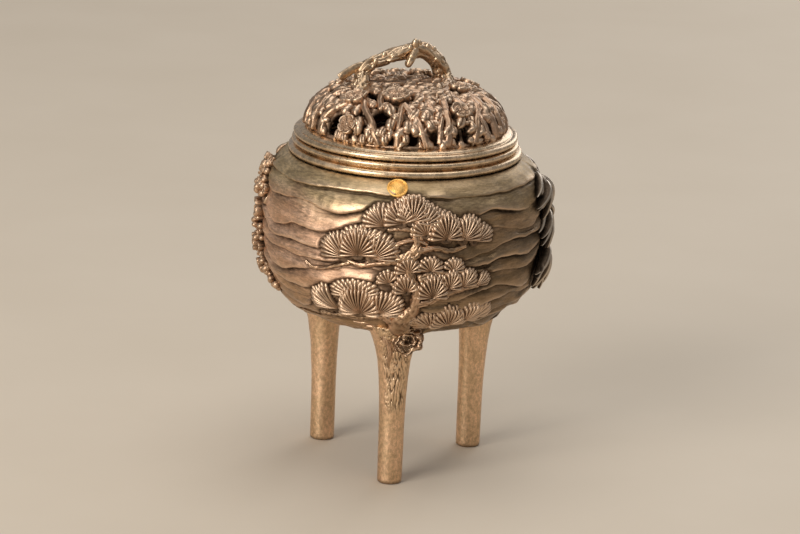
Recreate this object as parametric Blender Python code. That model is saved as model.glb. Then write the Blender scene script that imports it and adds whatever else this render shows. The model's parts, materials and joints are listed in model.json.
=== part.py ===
"""A cast bronze incense burner on three legs. Pine, plum and bamboo stand in high relief on its
bowl, a copper cup for the ash hangs in its mouth, and a pierced lid with a branch for a handle
lifts off. Metres, +Z up, with the feet on z = 0 and the front towards -Y."""

import math

import bmesh
import bpy
import numpy as np
from mathutils import Matrix, Vector

MM = 0.001

# Driving dimensions ---------------------------------------------------------------------------
BOWL_RADIUS = 65.3 * MM  # the widest circle of the bowl
EQUATOR_Z = 114.6 * MM  # height of that circle above the table
SHOULDER_RISE = 39.6 * MM  # from the equator to where the shoulder's curve would close
BELLY_DROP = 46.7 * MM  # from the equator to the lowest point of the bowl
SHOULDER_POWER, BELLY_POWER = 4.53, 2.72  # how square each half of the outline is
BOWL_WALL = 3.2 * MM
GAP = 0.35 * MM  # what keeps two neighbouring castings apart

LEG_CIRCLE = 40.9 * MM  # radius of the circle that the legs stand on
LEG_ANGLES = {"pine": -91.7, "bamboo": 28.3, "plum": 148.3}  # degrees from +X
LEG_LEAN = 1.3 * MM  # how far a leg's head bends outwards
LEG_TOP_Z = 78.5 * MM  # where a leg's flare ends and the trunk of its plant begins
DOWEL_RADIUS, DOWEL_CLEARANCE = 1.9 * MM, 0.35 * MM

RELIEF_LIFT = 0.45 * MM  # air between the bowl and a stem that is pinned to it
PAD_LIFT = 2.35 * MM  # the underside of the foliage, which lies on the stems
PAD_EDGE, PAD_CROWN = 0.6 * MM, 1.6 * MM  # a pad's thickness at its edge, and how far its middle swells
BOSS_RADIUS = 4.9 * MM
BOSS_PLACE = (-92.6, 146.4)  # degrees round the bowl, and height in mm

DOME_RADIUS, DOME_RISE, DOME_POWER = 45.2 * MM, 20.6 * MM, 2.42
DOME_BASE_Z = 161.4 * MM
DOME_WALL = 2.2 * MM

TURN_STEPS = 36  # facets round a turned piece
SHARP_ANGLE = math.radians(35)


# Curves that the castings follow ----------------------------------------------------------------
def squared_oval(angle, radius, rise, power):
    """(r, height) of a superellipse, where the angle runs from 0 at the side to 90 degrees at the pole."""
    c, s = math.cos(angle), math.sin(angle)
    reach = ((c / radius) ** power + (s / rise) ** power) ** (-1 / power)
    return reach * c, reach * s


def bowl_outline(angle):
    """(r, z) on the bowl's outside, from -90 degrees at its bottom to +90 where the shoulder would close."""
    if angle >= 0:
        r, height = squared_oval(angle, BOWL_RADIUS, SHOULDER_RISE, SHOULDER_POWER)
    else:
        r, height = squared_oval(-angle, BOWL_RADIUS, BELLY_DROP, BELLY_POWER)
    return r, EQUATOR_Z + math.copysign(height, angle)


def hollow_outline(angle):
    """(r, z) on the wall of the bowl's hollow."""
    wide = BOWL_RADIUS - BOWL_WALL
    if angle >= 0:
        r, height = squared_oval(angle, wide, SHOULDER_RISE - 5 * MM, 4.0)
    else:
        r, height = squared_oval(-angle, wide, BELLY_DROP - BOWL_WALL, BELLY_POWER)
    return r, EQUATOR_Z + math.copysign(height, angle)


def dome_outline(angle, inset=0.0):
    """(r, z) on the lid's dome, from 0 degrees at its foot to 90 at its crown."""
    r, height = squared_oval(angle, DOME_RADIUS - inset, DOME_RISE - inset, DOME_POWER)
    return r, DOME_BASE_Z + height


OUTLINE_ANGLES = np.linspace(-0.4999, 0.4999, 721) * math.pi
OUTLINE_R, OUTLINE_Z = np.array([bowl_outline(angle) for angle in OUTLINE_ANGLES]).T
CLIMB = np.concatenate([[0], np.cumsum(np.hypot(np.diff(OUTLINE_R), np.diff(OUTLINE_Z)))])


def climb_at(z):
    """The way up the bowl's outline, from its bottom to a height."""
    return float(np.interp(z, OUTLINE_Z, CLIMB))


def on_bowl(theta, climb, lift):
    """The point at an angle round the bowl and a way up its outline, lifted off its surface."""
    nearby = (climb - 0.2 * MM, climb, climb + 0.2 * MM)
    r0, r, r1 = map(float, np.interp(nearby, CLIMB, OUTLINE_R))
    z0, z, z1 = map(float, np.interp(nearby, CLIMB, OUTLINE_Z))
    along = Vector((r1 - r0, z1 - z0)).normalized()
    r, z = r + lift * along.y, z - lift * along.x
    return Vector((r * math.cos(theta), r * math.sin(theta), z))


def bowl_normal(theta, climb):
    return (on_bowl(theta, climb, 1.0) - on_bowl(theta, climb, 0.0)).normalized()


def near_on_bowl(theta, climb, across, up, lift):
    """A point near a place on the bowl, by distances across and up its surface."""
    r = float(np.interp(climb + up, CLIMB, OUTLINE_R))
    return on_bowl(theta + across / r, climb + up, lift)


def smooth_path(stops, per_span=3):
    """Points along a smooth curve (Catmull-Rom) through the stops, which are tuples of any length."""
    p = np.array(stops, float)
    p = np.vstack([2 * p[0] - p[1], p, 2 * p[-1] - p[-2]])
    found = []
    for a, b, c, d in zip(p[:-3], p[1:-2], p[2:-1], p[3:]):
        for t in np.arange(per_span) / per_span:
            bend = (2 * a - 5 * b + 4 * c - d) * t**2 + (3 * b - a - 3 * c + d) * t**3
            found.append(b + ((c - a) * t + bend) / 2)
    return [tuple(map(float, point)) for point in (*found, p[-2])]


# Ways of making a solid -------------------------------------------------------------------------
def clear_scene():
    for thing in list(bpy.data.objects):
        bpy.data.objects.remove(thing)


def make_material(name, colour, roughness):
    material = bpy.data.materials.new(name)
    material.use_nodes = True
    shader = material.node_tree.nodes["Principled BSDF"]
    shader.inputs["Base Color"].default_value = (*colour, 1.0)
    shader.inputs["Roughness"].default_value = roughness
    shader.inputs["Metallic"].default_value = 1.0
    return material


def add_object(name, bm, material=None):
    """Puts a closed mesh into the scene. One without a material is a cutter or a helper, and is hidden."""
    bmesh.ops.remove_doubles(bm, verts=bm.verts, dist=1e-6)
    bmesh.ops.recalc_face_normals(bm, faces=bm.faces)
    mesh = bpy.data.meshes.new(name)
    bm.to_mesh(mesh)
    bm.free()
    mesh.shade_smooth()
    mesh.set_sharp_from_angle(angle=SHARP_ANGLE)
    thing = bpy.data.objects.new(name, mesh)
    bpy.context.scene.collection.objects.link(thing)
    if material:
        mesh.materials.append(material)
    else:
        thing.hide_render = True
        thing.display_type = "WIRE"
    return thing


def boolean(thing, other, operation="DIFFERENCE"):
    modifier = thing.modifiers.new(f"{operation} {other.name}", "BOOLEAN")
    modifier.operation = operation
    modifier.object = other
    modifier.solver = "EXACT"


def skin(bm, rings):
    """Faces between neighbouring rings of vertices, each ring being a closed loop of equal length."""
    for low, high in zip(rings, rings[1:]):
        for k in range(len(low)):
            n = (k + 1) % len(low)
            bm.faces.new((low[k], low[n], high[n], high[k]))


def turned_mesh(outline, steps=TURN_STEPS, ring=False):
    """An (r, z) outline spun round Z. It starts and ends on the axis, unless it is a ring's closed outline."""
    bm = bmesh.new()
    verts = [bm.verts.new((r, 0, z)) for r, z in outline]
    pairs = list(zip(verts, verts[1:]))
    if ring:
        pairs.append((verts[-1], verts[0]))
    edges = [bm.edges.new(pair) for pair in pairs]
    bmesh.ops.spin(
        bm, geom=verts + edges, cent=(0, 0, 0), axis=(0, 0, 1), angle=math.tau, steps=steps, use_merge=True
    )
    return bm


def in_metres(outline):
    return [(r * MM, z * MM) for r, z in outline]


def rod_cutter(name, foot, head, radius, steps=16):
    """A round cutter between two points."""
    bm = bmesh.new()
    bmesh.ops.create_cone(
        bm, cap_ends=True, segments=steps, radius1=radius, radius2=radius, depth=(head - foot).length
    )
    turn = (head - foot).to_track_quat("Z", "Y").to_matrix().to_4x4()
    bmesh.ops.transform(bm, matrix=Matrix.Translation((foot + head) / 2) @ turn, verts=bm.verts)
    return add_object(name, bm)


def tube_mesh(centres, half_widths, depths, ups, sides):
    """A closed oval tube along a list of points, with its depth along the up direction of each point."""
    bm = bmesh.new()
    rings = []
    turns = [math.tau * k / sides for k in range(sides)]
    for i, (centre, wide, deep, up) in enumerate(zip(centres, half_widths, depths, ups)):
        ahead = centres[min(i + 1, len(centres) - 1)] - centres[max(i - 1, 0)]
        across = ahead.cross(up).normalized() * wide
        out = across.cross(ahead).normalized() * deep / 2
        rings.append([bm.verts.new(centre + math.cos(a) * across + math.sin(a) * out) for a in turns])
    skin(bm, rings)
    bm.faces.new(rings[0][::-1])
    bm.faces.new(rings[-1])
    return bm


# The vessel -------------------------------------------------------------------------------------
BOWL_STATIONS = (-76, -64, -53, -43, -34, -26, -18, -10, -2, 6, 14, 20, 25, 29, 32)  # degrees up the outline
HOLLOW_STATIONS = (24, 16, 8, 0, -10, -20, -32, -45, -60, -75)


def lifted_bowl_outline(lift):
    """The bowl's outside from the axis up to its rim, lifted off its surface."""
    bottom = (0.0, EQUATOR_Z - BELLY_DROP - lift)
    heights = [bowl_outline(math.radians(station))[1] for station in BOWL_STATIONS]
    places = [on_bowl(0, climb_at(z), lift) for z in heights]
    return [bottom, *((place.x, place.z) for place in places)]


def build_bowl(bronze):
    """The cast shell, open at the mouth, with a rebate that the collar sits in."""
    rim = [(54.4, 149.3), (53.8, 149.3), (53.8, 148.5), (49.5, 148.5), (49.5, 145.3)]
    hollow = [hollow_outline(math.radians(station)) for station in HOLLOW_STATIONS]
    floor = (0.0, EQUATOR_Z - BELLY_DROP + BOWL_WALL)
    return add_object("bowl", turned_mesh([*lifted_bowl_outline(0), *in_metres(rim), *hollow, floor]), bronze)


def build_collar(bronze):
    """The moulded mouth ring: two beads outside, and a bore with a ledge inside."""
    lower_bead = [(53.4, 148.9), (53.4, 149.9), (54.3, 150.4), (54.9, 151.2), (55.0, 152.0), (54.5, 152.8)]
    cove = [(53.5, 153.2), (52.4, 153.6), (52.3, 154.2)]
    upper_bead = [(52.9, 154.8), (53.4, 155.5), (53.3, 156.2), (52.8, 156.8), (52.2, 157.0)]
    bore = [(48.6, 157.0), (48.6, 150.3), (46.2, 150.3), (46.2, 148.9)]
    outline = in_metres(lower_bead + cove + upper_bead + bore)
    add_object("mouth_collar", turned_mesh(outline, ring=True), bronze)


def build_liner(copper):
    """The cup that holds the ash. Its lip lies on the collar's ledge."""
    outside = [(0.0, 95.4), (36.0, 97.0), (42.0, 105.0), (44.6, 118.0), (45.2, 149.0), (45.4, 150.6), (48.0, 150.6)]
    inside = [(48.0, 151.4), (44.4, 151.4), (44.2, 149.0), (43.6, 118.0), (41.1, 105.5), (35.5, 98.0), (0.0, 96.4)]
    add_object("ash_liner", turned_mesh(in_metres(outside + inside)), copper)


def build_leg(plant, bronze, bowl, bowl_cutter):
    """A round leg that flares into the bowl, and the dowel that ties the two together."""
    shaft = [(5.2, 0.0), (5.7, 0.5), (5.8, 2.0), (5.95, 30.0), (6.3, 42.0), (6.9, 52.0)]
    flare = [(7.7, 60.0), (9.0, 66.0), (10.2, 70.0), (11.8, 74.0), (13.6, LEG_TOP_Z / MM)]
    bm = turned_mesh([(0, 0), *in_metres(shaft + flare), (0, LEG_TOP_Z)], steps=24)
    angle = math.radians(LEG_ANGLES[plant])
    out = Vector((math.cos(angle), math.sin(angle), 0))
    lean_z = 66 * MM
    for vert in bm.verts:
        vert.co += out * (LEG_CIRCLE + LEG_LEAN * min(vert.co.z / lean_z, 1.0) ** 3)
    leg = add_object(f"leg_{plant}", bm, bronze)
    boolean(leg, bowl_cutter)

    axis = out * (LEG_CIRCLE + LEG_LEAN)
    foot, head = axis + Vector((0, 0, 58 * MM)), axis + Vector((0, 0, 90 * MM))
    bore = rod_cutter(f"dowel_bore_{plant}", foot, head, DOWEL_RADIUS + DOWEL_CLEARANCE)
    boolean(leg, bore)
    boolean(bowl, bore)

    peened = [(1.9, 80.2), (2.5, 80.5), (2.5, 81.1), (1.5, 82.0), (0.0, 82.3)]
    dowel = [(0.0, 58.6 * MM), (DOWEL_RADIUS, 58.6 * MM), *in_metres(peened)]
    add_object(f"leg_dowel_{plant}", turned_mesh(dowel, steps=16), bronze).location = axis


def build_boss(gilt, bowl):
    """The plain gilt stud under the collar, with a shank that is riveted through the bowl."""
    shank = [(0.0, -4.2), (0.8, -4.2), (0.8, 0.0)]
    rim = [(0.93, 0.0), (1.0, 0.35), (0.97, 0.8), (0.84, 0.95)]
    dome = [(0.78, 0.7), (0.45, 1.15), (0.0, 1.35)]
    face = [(r * BOSS_RADIUS, z * MM) for r, z in rim + dome]
    boss = add_object("gilt_boss", turned_mesh([*in_metres(shank), *face], steps=24), gilt)
    theta, climb = math.radians(BOSS_PLACE[0]), climb_at(BOSS_PLACE[1] * MM)
    foot, out = on_bowl(theta, climb, 0.75 * MM), bowl_normal(theta, climb)
    boss.matrix_world = Matrix.Translation(foot) @ out.to_track_quat("Z", "Y").to_matrix().to_4x4()
    bore = rod_cutter("boss_bore", foot - 9 * MM * out, foot + 4 * MM * out, 1.15 * MM)
    boolean(bowl, bore)


# The relief -------------------------------------------------------------------------------------
# A stop of a stem is (degrees round, height, half width, depth), with its sizes in mm.
PINE_TRUNK = [(-91, 76, 6.5, 6.0), (-88, 83, 5.0, 4.4), (-84, 92, 4.2, 3.0), (-83, 102, 3.2, 1.7),
              (-86, 113, 2.6, 1.7), (-85, 124, 2.2, 1.7), (-89, 134, 1.6, 1.5)]  # fmt: skip
PINE_BRANCHES = {
    "pine_branch_left": [(-86, 112, 1.9, 1.6), (-98, 111, 1.8, 1.6), (-112, 112, 1.4, 1.4)],
    "pine_branch_right": [(-85, 120, 1.9, 1.6), (-72, 121.5, 1.8, 1.6), (-62, 122.5, 1.4, 1.4)],
    "pine_branch_low_left": [(-88, 83, 2.4, 1.8), (-102, 85, 2.0, 1.6), (-114, 87, 1.6, 1.4)],
    "pine_branch_low_right": [(-84, 94, 2.2, 1.8), (-72, 99, 1.8, 1.6), (-58, 103, 1.4, 1.4)],
    "pine_branch_foot_right": [(-86, 86, 2.0, 1.8), (-74, 83, 1.8, 1.6), (-60, 84, 1.4, 1.4)],
}
PINE_PADS = {  # degrees round, then height, half width, rise and drop in mm, and the number of lobes
    "pine_pad_crown": (-89.5, 131.5, 14.5, 13.0, 2.4, 3),
    "pine_pad_right_high": (-67.0, 121.5, 16.5, 14.5, 2.6, 3),
    "pine_pad_left_high": (-109.5, 111.5, 18.0, 15.5, 2.8, 3),
    "pine_pad_middle": (-86.0, 106.5, 8.6, 10.5, 2.0, 2),
    "pine_pad_right_low": (-62.0, 101.0, 15.0, 12.5, 2.4, 4),
    "pine_pad_left_low": (-112.0, 85.0, 18.0, 17.5, 3.0, 4),
    "pine_pad_right_foot": (-62.5, 82.5, 12.5, 10.5, 2.0, 3),
}
PLUM_TRUNK = [(149, 76, 6.0, 5.5), (153, 90, 4.0, 3.4), (160, 104, 3.0, 1.7), (169, 118, 2.2, 1.7),
              (172, 132, 1.6, 1.5), (176, 142, 1.2, 1.2)]  # fmt: skip
PLUM_BRANCHES = {
    "plum_branch_back": [(151, 88, 2.4, 2.0), (138, 102, 2.2, 1.7), (124, 112, 1.8, 1.6), (100, 121, 1.3, 1.3)],
    "plum_branch_high": [(159, 103, 2.1, 1.6), (149, 122, 1.7, 1.5), (143, 132, 1.4, 1.3), (137, 140, 1.1, 1.2)],
    "plum_twig_low": [(160, 104, 1.6, 1.5), (169, 103, 1.4, 1.3), (178, 101, 1.1, 1.2)],
    "plum_twig_high": [(168, 117, 1.5, 1.5), (178, 120, 1.3, 1.3), (186, 121, 1.1, 1.2)],
}
PLUM_FLOWER_DEPTH = 2.0  # how much deeper than the lid's flowers they are
PLUM_FLOWERS = [  # degrees round, then height and radius in mm
    (175.0, 139.0, 5.2), (185.0, 121.0, 5.6), (177.0, 101.5, 5.2), (149.0, 122.0, 5.4), (138.0, 138.0, 5.2),
    (124.0, 112.0, 5.6), (140.0, 100.5, 5.4), (102.0, 120.5, 5.2),
]  # fmt: skip
BAMBOO_CULM = [(28, 76, 3.8, 3.6), (30, 92, 2.8, 2.0), (32, 108, 2.4, 1.7), (33, 124, 2.0, 1.7),
               (34, 138, 1.6, 1.4)]  # fmt: skip
BAMBOO_TWIGS = {
    "bamboo_twig_front": [(32, 112, 1.4, 1.4), (18, 128, 1.2, 1.3), (6, 138, 1.0, 1.2)],
    "bamboo_twig_back": [(32, 113, 1.4, 1.4), (47, 128, 1.2, 1.3), (57, 134, 1.0, 1.2)],
    "bamboo_twig_low": [(30, 92, 1.4, 1.5), (15, 100, 1.2, 1.3), (1, 105, 1.0, 1.2)],
}
BAMBOO_LEAVES = [  # a leaf's stops, as degrees round and height in mm, and its half width in mm
    ([(4.0, 142.0), (-1.0, 128.0), (-4.0, 112.0)], 3.6),
    ([(14.0, 136.0), (10.0, 118.0), (8.0, 102.0)], 3.8),
    ([(1.0, 107.0), (-3.0, 96.0), (-4.0, 84.0)], 3.2),
    ([(26.0, 142.0), (24.0, 128.0), (22.0, 112.0)], 3.6),
    ([(40.0, 138.0), (44.0, 122.0), (46.0, 106.0)], 3.8),
    ([(56.0, 135.0), (62.0, 118.0), (66.0, 102.0)], 3.6),
    ([(14.0, 98.0), (10.0, 88.0), (8.0, 79.0)], 2.8),
]


def stem_mesh(stops, sides=8):
    """A stem that hugs the bowl through its stops."""
    route = smooth_path([(math.radians(t), climb_at(z * MM), w * MM, d * MM) for t, z, w, d in stops])
    centres = [on_bowl(t, s, RELIEF_LIFT + d / 2) for t, s, _, d in route]
    normals = [bowl_normal(t, s) for t, s, _, _ in route]
    return tube_mesh(centres, [stop[2] for stop in route], [stop[3] for stop in route], normals, sides)


def build_plant(name, trunk_stops, branches, bronze, foot_cutter):
    """A trunk with its branches, cast in one piece and cut level just above the leg's head."""
    trunk = add_object(name, stem_mesh(trunk_stops), bronze)
    for branch, stops in branches.items():
        boolean(trunk, add_object(branch, stem_mesh(stops)), "UNION")
    boolean(trunk, foot_cutter)


def pad_mesh(theta, climb, half_width, rise, drop, lobes, sides=20):
    """A cloud of pine needles that lies along the bowl: scalloped above its centre, and shallow below it."""
    bm = bmesh.new()
    rims = []
    for thickness, swell in ((0.0, 0.0), (PAD_EDGE, PAD_CROWN)):
        rings = []
        for share in (1.0, 0.66, 0.33):
            lift = PAD_LIFT + thickness + swell * (1 - share**2)
            ring = []
            for a in (math.tau * k / sides for k in range(sides)):
                above = math.sin(a) > 0.01
                scallop = 0.83 + 0.17 * abs(math.sin(lobes * a)) if above else 1.0
                across = share * scallop * half_width * math.cos(a)
                up = share * scallop * (rise if above else drop) * math.sin(a)
                ring.append(bm.verts.new(near_on_bowl(theta, climb, across, up, lift)))
            rings.append(ring)
        middle = bm.verts.new(on_bowl(theta, climb, PAD_LIFT + thickness + swell))
        skin(bm, rings)
        for k in range(sides):
            bm.faces.new((rings[-1][k], rings[-1][(k + 1) % sides], middle))
        rims.append(rings[0])
    skin(bm, rims)
    return bm


def leaf_mesh(stops, half_width):
    """A long pointed bamboo leaf along the bowl, with a ridge down its middle."""
    section = ((-1, 0.0), (0, 0.0), (1, 0.0), (1, 1.3), (0, 2.6), (-1, 1.3))  # across, and up in mm
    route = smooth_path([(math.radians(t), climb_at(z * MM)) for t, z in stops], 4)
    places = [on_bowl(t, s, PAD_LIFT + 0.1 * MM) for t, s in route]
    last = len(route) - 1
    bm = bmesh.new()
    rings = []
    for i, (t, s) in enumerate(route):
        wide = half_width * max(math.sin(math.pi * (0.06 + 0.9 * i / last)) ** 0.8, 0.05)
        out = bowl_normal(t, s)
        side = (places[min(i + 1, last)] - places[max(i - 1, 0)]).cross(out).normalized() * wide
        rings.append([bm.verts.new(places[i] + side * x + out * h * MM) for x, h in section])
    skin(bm, rings)
    bm.faces.new(rings[0][::-1])
    bm.faces.new(rings[-1])
    return bm


def flower_mesh(foot, out, radius, depth=1.0, sides=15):
    """A plum flower: a flat back, five domed petals and a round eye."""
    bm = bmesh.new()
    rings = []
    for share, height in ((1.0, 0.0), (1.0, 0.9), (0.6, 1.5), (0.25, 1.0), (0.18, 1.8)):
        ring = []
        for a in (math.tau * k / sides for k in range(sides)):
            petal = 0.86 + 0.14 * abs(math.cos(2.5 * a)) if share > 0.3 else 1.0
            reach = radius * share * petal
            ring.append(bm.verts.new((reach * math.cos(a), reach * math.sin(a), height * depth * MM)))
        rings.append(ring)
    skin(bm, rings)
    bm.faces.new(rings[0][::-1])
    bm.faces.new(rings[-1])
    turn = out.to_track_quat("Z", "Y").to_matrix().to_4x4()
    bmesh.ops.transform(bm, matrix=Matrix.Translation(foot) @ turn, verts=bm.verts)
    return bm


def build_relief(bronze):
    bm = bmesh.new()
    bmesh.ops.create_cube(bm, size=200 * MM)
    bmesh.ops.translate(bm, verts=bm.verts, vec=(0, 0, LEG_TOP_Z + GAP - 100 * MM))
    foot_cutter = add_object("trunk_foot_clearance", bm)

    build_plant("pine_trunk", PINE_TRUNK, PINE_BRANCHES, bronze, foot_cutter)
    for name, (theta, z, half_width, rise, drop, lobes) in PINE_PADS.items():
        place = math.radians(theta), climb_at(z * MM)
        add_object(name, pad_mesh(*place, half_width * MM, rise * MM, drop * MM, lobes), bronze)

    build_plant("plum_trunk", PLUM_TRUNK, PLUM_BRANCHES, bronze, foot_cutter)
    for number, (theta, z, radius) in enumerate(PLUM_FLOWERS, 1):
        place = math.radians(theta), climb_at(z * MM)
        foot = on_bowl(*place, PAD_LIFT + GAP)
        flower = flower_mesh(foot, bowl_normal(*place), radius * MM, PLUM_FLOWER_DEPTH)
        add_object(f"plum_flower_{number}", flower, bronze)

    build_plant("bamboo_culm", BAMBOO_CULM, BAMBOO_TWIGS, bronze, foot_cutter)
    for number, (stops, half_width) in enumerate(BAMBOO_LEAVES, 1):
        add_object(f"bamboo_leaf_{number}", leaf_mesh(stops, half_width * MM), bronze)


# The lid ----------------------------------------------------------------------------------------
DOME_COLUMNS = 48
DOME_ROWS = (0, 7, 19, 32, 41, 52, 63, 76)  # degrees up the dome's outline
LOW_WINDOW_ROWS, HIGH_WINDOW_ROWS = (1, 2), (4, 5)
LID_FLOWERS = [  # degrees round, degrees up the dome's outline, and radius in mm
    (-100, 35, 6.2), (-136, 27, 5.6), (-51, 20, 4.9), (-12, 38, 5.2), (30, 26, 5.0), (74, 43, 5.4), (100, 26, 5.0),
    (134, 40, 5.4), (172, 27, 4.9), (-126, 10, 4.9),
]  # fmt: skip
# A stop of the handle is x, y, z and half thickness in mm, from the left root over the top to the right one.
HANDLE_STOPS = [
    (-21.4, -4.2, 177.0, 3.6), (-21.2, -3.9, 182.2, 3.3), (-20.8, -3.2, 188.0, 3.2), (-17.0, -2.0, 192.0, 2.9),
    (-11.0, 0.0, 194.2, 2.8), (-4.1, 2.2, 196.7, 2.9), (1.9, 5.0, 198.9, 3.2), (7.2, 7.8, 197.4, 3.5),
    (11.5, 10.2, 193.2, 3.9), (14.6, 12.3, 188.2, 4.2), (16.6, 13.9, 182.0, 4.5), (17.6, 14.8, 176.0, 4.8),
]  # fmt: skip
SAWN_BRANCH_STOPS = [(-19.8, -3.0, 189.6, 2.4), (-24.3, -4.0, 190.2, 2.4), (-27.8, -5.1, 188.0, 2.3),
                     (-30.9, -6.0, 185.6, 2.1)]  # fmt: skip
HANDLE_KNOTS = [(2.6, 4.9, 201.6, 2.3), (8.6, 8.2, 199.6, 2.2), (-11.6, -0.6, 196.4, 1.7)]
HANDLE_PINS = {"handle_pin_left": (-21.2, -3.8, 184.5), "handle_pin_right": (17.5, 14.3, 183.5)}
PIN_RADIUS, PIN_LENGTH = 1.2 * MM, 9.5 * MM


def build_lid_ring(bronze):
    """The turned flange that rests on the collar, with a spigot below it and a rebate for the dome."""
    spigot = [(46.7, 152.6), (48.1, 152.6), (48.1, 157.3)]
    bead = [(52.2, 157.3), (52.6, 158.1), (52.7, 159.2), (52.3, 160.1), (51.6, 160.6), (51.1, 160.5)]
    slope = [(50.8, 160.1), (50.3, 160.6), (48.5, 161.6), (46.3, 162.3), (45.7, 162.1)]
    rebate = [(45.7, 161.0), (42.6, 161.0), (42.6, 159.0), (46.7, 156.0)]
    add_object("lid_ring", turned_mesh(in_metres(spigot + bead + slope + rebate), ring=True), bronze)


def is_window(row, column):
    """Sixteen windows stand along the rim, and twelve round the crown."""
    if row in LOW_WINDOW_ROWS:
        return column % 3 == 1
    return row in HIGH_WINDOW_ROWS and column % 4 == 2


def build_dome(bronze):
    """The pierced shell: two skins of cells on the dome's outline, joined by the windows' walls."""
    bm = bmesh.new()
    skins = []
    turns = [math.tau * k / DOME_COLUMNS for k in range(DOME_COLUMNS)]
    last = len(DOME_ROWS) - 1
    for inset in (0.0, DOME_WALL):
        rings = []
        for degrees in DOME_ROWS:
            r, z = dome_outline(math.radians(degrees), inset)
            rings.append([bm.verts.new((r * math.cos(a), r * math.sin(a), z)) for a in turns])
        for i in range(last):
            for k in (k for k in range(DOME_COLUMNS) if not is_window(i, k)):
                n = (k + 1) % DOME_COLUMNS
                bm.faces.new((rings[i][k], rings[i][n], rings[i + 1][n], rings[i + 1][k]))
        crown = bm.verts.new((0, 0, DOME_BASE_Z + DOME_RISE - inset))
        for k in range(DOME_COLUMNS):
            bm.faces.new((rings[last][k], rings[last][(k + 1) % DOME_COLUMNS], crown))
        skins.append(rings)
    outer, inner = skins
    for i in range(last):
        for k in range(DOME_COLUMNS):
            n = (k + 1) % DOME_COLUMNS
            if i == 0 or is_window(i, k) != is_window(i - 1, k):
                bm.faces.new((outer[i][k], outer[i][n], inner[i][n], inner[i][k]))
            if is_window(i, k) != is_window(i, k - 1):
                bm.faces.new((outer[i][k], outer[i + 1][k], inner[i + 1][k], inner[i][k]))
    return add_object("lid_dome", bm, bronze)


def air_branch_mesh(stops, sides):
    """A round branch through the handle's stops."""
    centres = [Vector(stop[:3]) * MM for stop in stops]
    half = [stop[3] * MM for stop in stops]
    square_to_handle = Vector((-0.4, 0.9, 0.1))
    return tube_mesh(centres, half, [2 * w for w in half], [square_to_handle] * len(stops), sides)


def build_handle(bronze, dome_cutter):
    """The bent branch that the lid is lifted by, with a sawn side branch and knots."""
    handle = add_object("lid_handle", air_branch_mesh(smooth_path(HANDLE_STOPS, 2), 10), bronze)
    boolean(handle, add_object("handle_side_branch", air_branch_mesh(SAWN_BRANCH_STOPS, 8)), "UNION")
    for number, (x, y, z, radius) in enumerate(HANDLE_KNOTS, 1):
        bm = bmesh.new()
        bmesh.ops.create_icosphere(bm, subdivisions=2, radius=radius * MM)
        bmesh.ops.translate(bm, verts=bm.verts, vec=Vector((x, y, z)) * MM)
        boolean(handle, add_object(f"handle_knot_{number}", bm), "UNION")
    boolean(handle, dome_cutter)
    return handle


def build_handle_pin(name, head, bronze, dome, handle):
    """A pin that ties a root of the handle to the dome, through a bore in each."""
    head = Vector(head) * MM
    below, above = Vector((0, 0, PIN_LENGTH + 4.5 * MM)), Vector((0, 0, GAP))
    bore = rod_cutter(f"{name}_bore", head - below, head + above, PIN_RADIUS + GAP, steps=12)
    boolean(dome, bore)
    boolean(handle, bore)
    outline = [(0, -PIN_LENGTH), (PIN_RADIUS, -PIN_LENGTH), (PIN_RADIUS, 0), (0, 0)]
    add_object(name, turned_mesh(outline, steps=12), bronze).location = head


def build_lid_flower(number, theta, rise, radius, bronze):
    """A plum flower just clear of the dome, square to its surface."""
    r, z = dome_outline(rise)
    ahead_r, ahead_z = dome_outline(rise + 0.02)
    round_it = Vector((math.cos(theta), math.sin(theta), 0))
    out = (round_it * (ahead_z - z) + Vector((0, 0, r - ahead_r))).normalized()
    foot = round_it * r + Vector((0, 0, z)) + out * 0.9 * MM
    add_object(f"lid_flower_{number}", flower_mesh(foot, out, radius), bronze)


def build_lid(bronze):
    build_lid_ring(bronze)
    dome = build_dome(bronze)
    clearance = [dome_outline(math.radians(degrees), -GAP) for degrees in DOME_ROWS]
    crown = (0.0, DOME_BASE_Z + DOME_RISE + GAP)
    dome_cutter = add_object(
        "dome_clearance", turned_mesh([(0.0, DOME_BASE_Z), *clearance, crown], steps=DOME_COLUMNS)
    )
    handle = build_handle(bronze, dome_cutter)
    for name, head in HANDLE_PINS.items():
        build_handle_pin(name, head, bronze, dome, handle)
    for number, (theta, degrees, radius) in enumerate(LID_FLOWERS, 1):
        build_lid_flower(number, math.radians(theta), math.radians(degrees), radius * MM, bronze)


def build():
    clear_scene()
    bronze = make_material("cast bronze", (0.42, 0.27, 0.15), 0.34)
    copper = make_material("liner copper", (0.36, 0.17, 0.10), 0.5)
    gilt = make_material("gilt", (0.86, 0.55, 0.18), 0.3)

    bowl = build_bowl(bronze)
    build_collar(bronze)
    build_liner(copper)
    above_rim = (0.0, 153 * MM)
    bowl_cutter = add_object("bowl_clearance", turned_mesh([*lifted_bowl_outline(GAP), above_rim]))
    for plant in LEG_ANGLES:
        build_leg(plant, bronze, bowl, bowl_cutter)
    build_boss(gilt, bowl)
    build_relief(bronze)
    build_lid(bronze)


build()
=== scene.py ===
# %% [markdown]
# # Finishing a cast bronze incense burner
#
# The burner stands on three legs and is covered with relief: a pine on the front, a plum on the left,
# bamboo on the right, wavy ledges over the whole bowl, and a lid pierced through twigs and blossom. On the
# real one a founder casts it in lost wax and a chaser sharpens each needle with a punch. Sculpting by hand
# would do that in Blender, but every stroke here has a rule, such as needles that fan out from a twig. So
# each shape is worked out as an array of points and put into a mesh, over the CAD frame that holds its size.

# %% Load the frame
import json

import bpy
import numpy as np
from mathutils import Matrix, Vector

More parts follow.
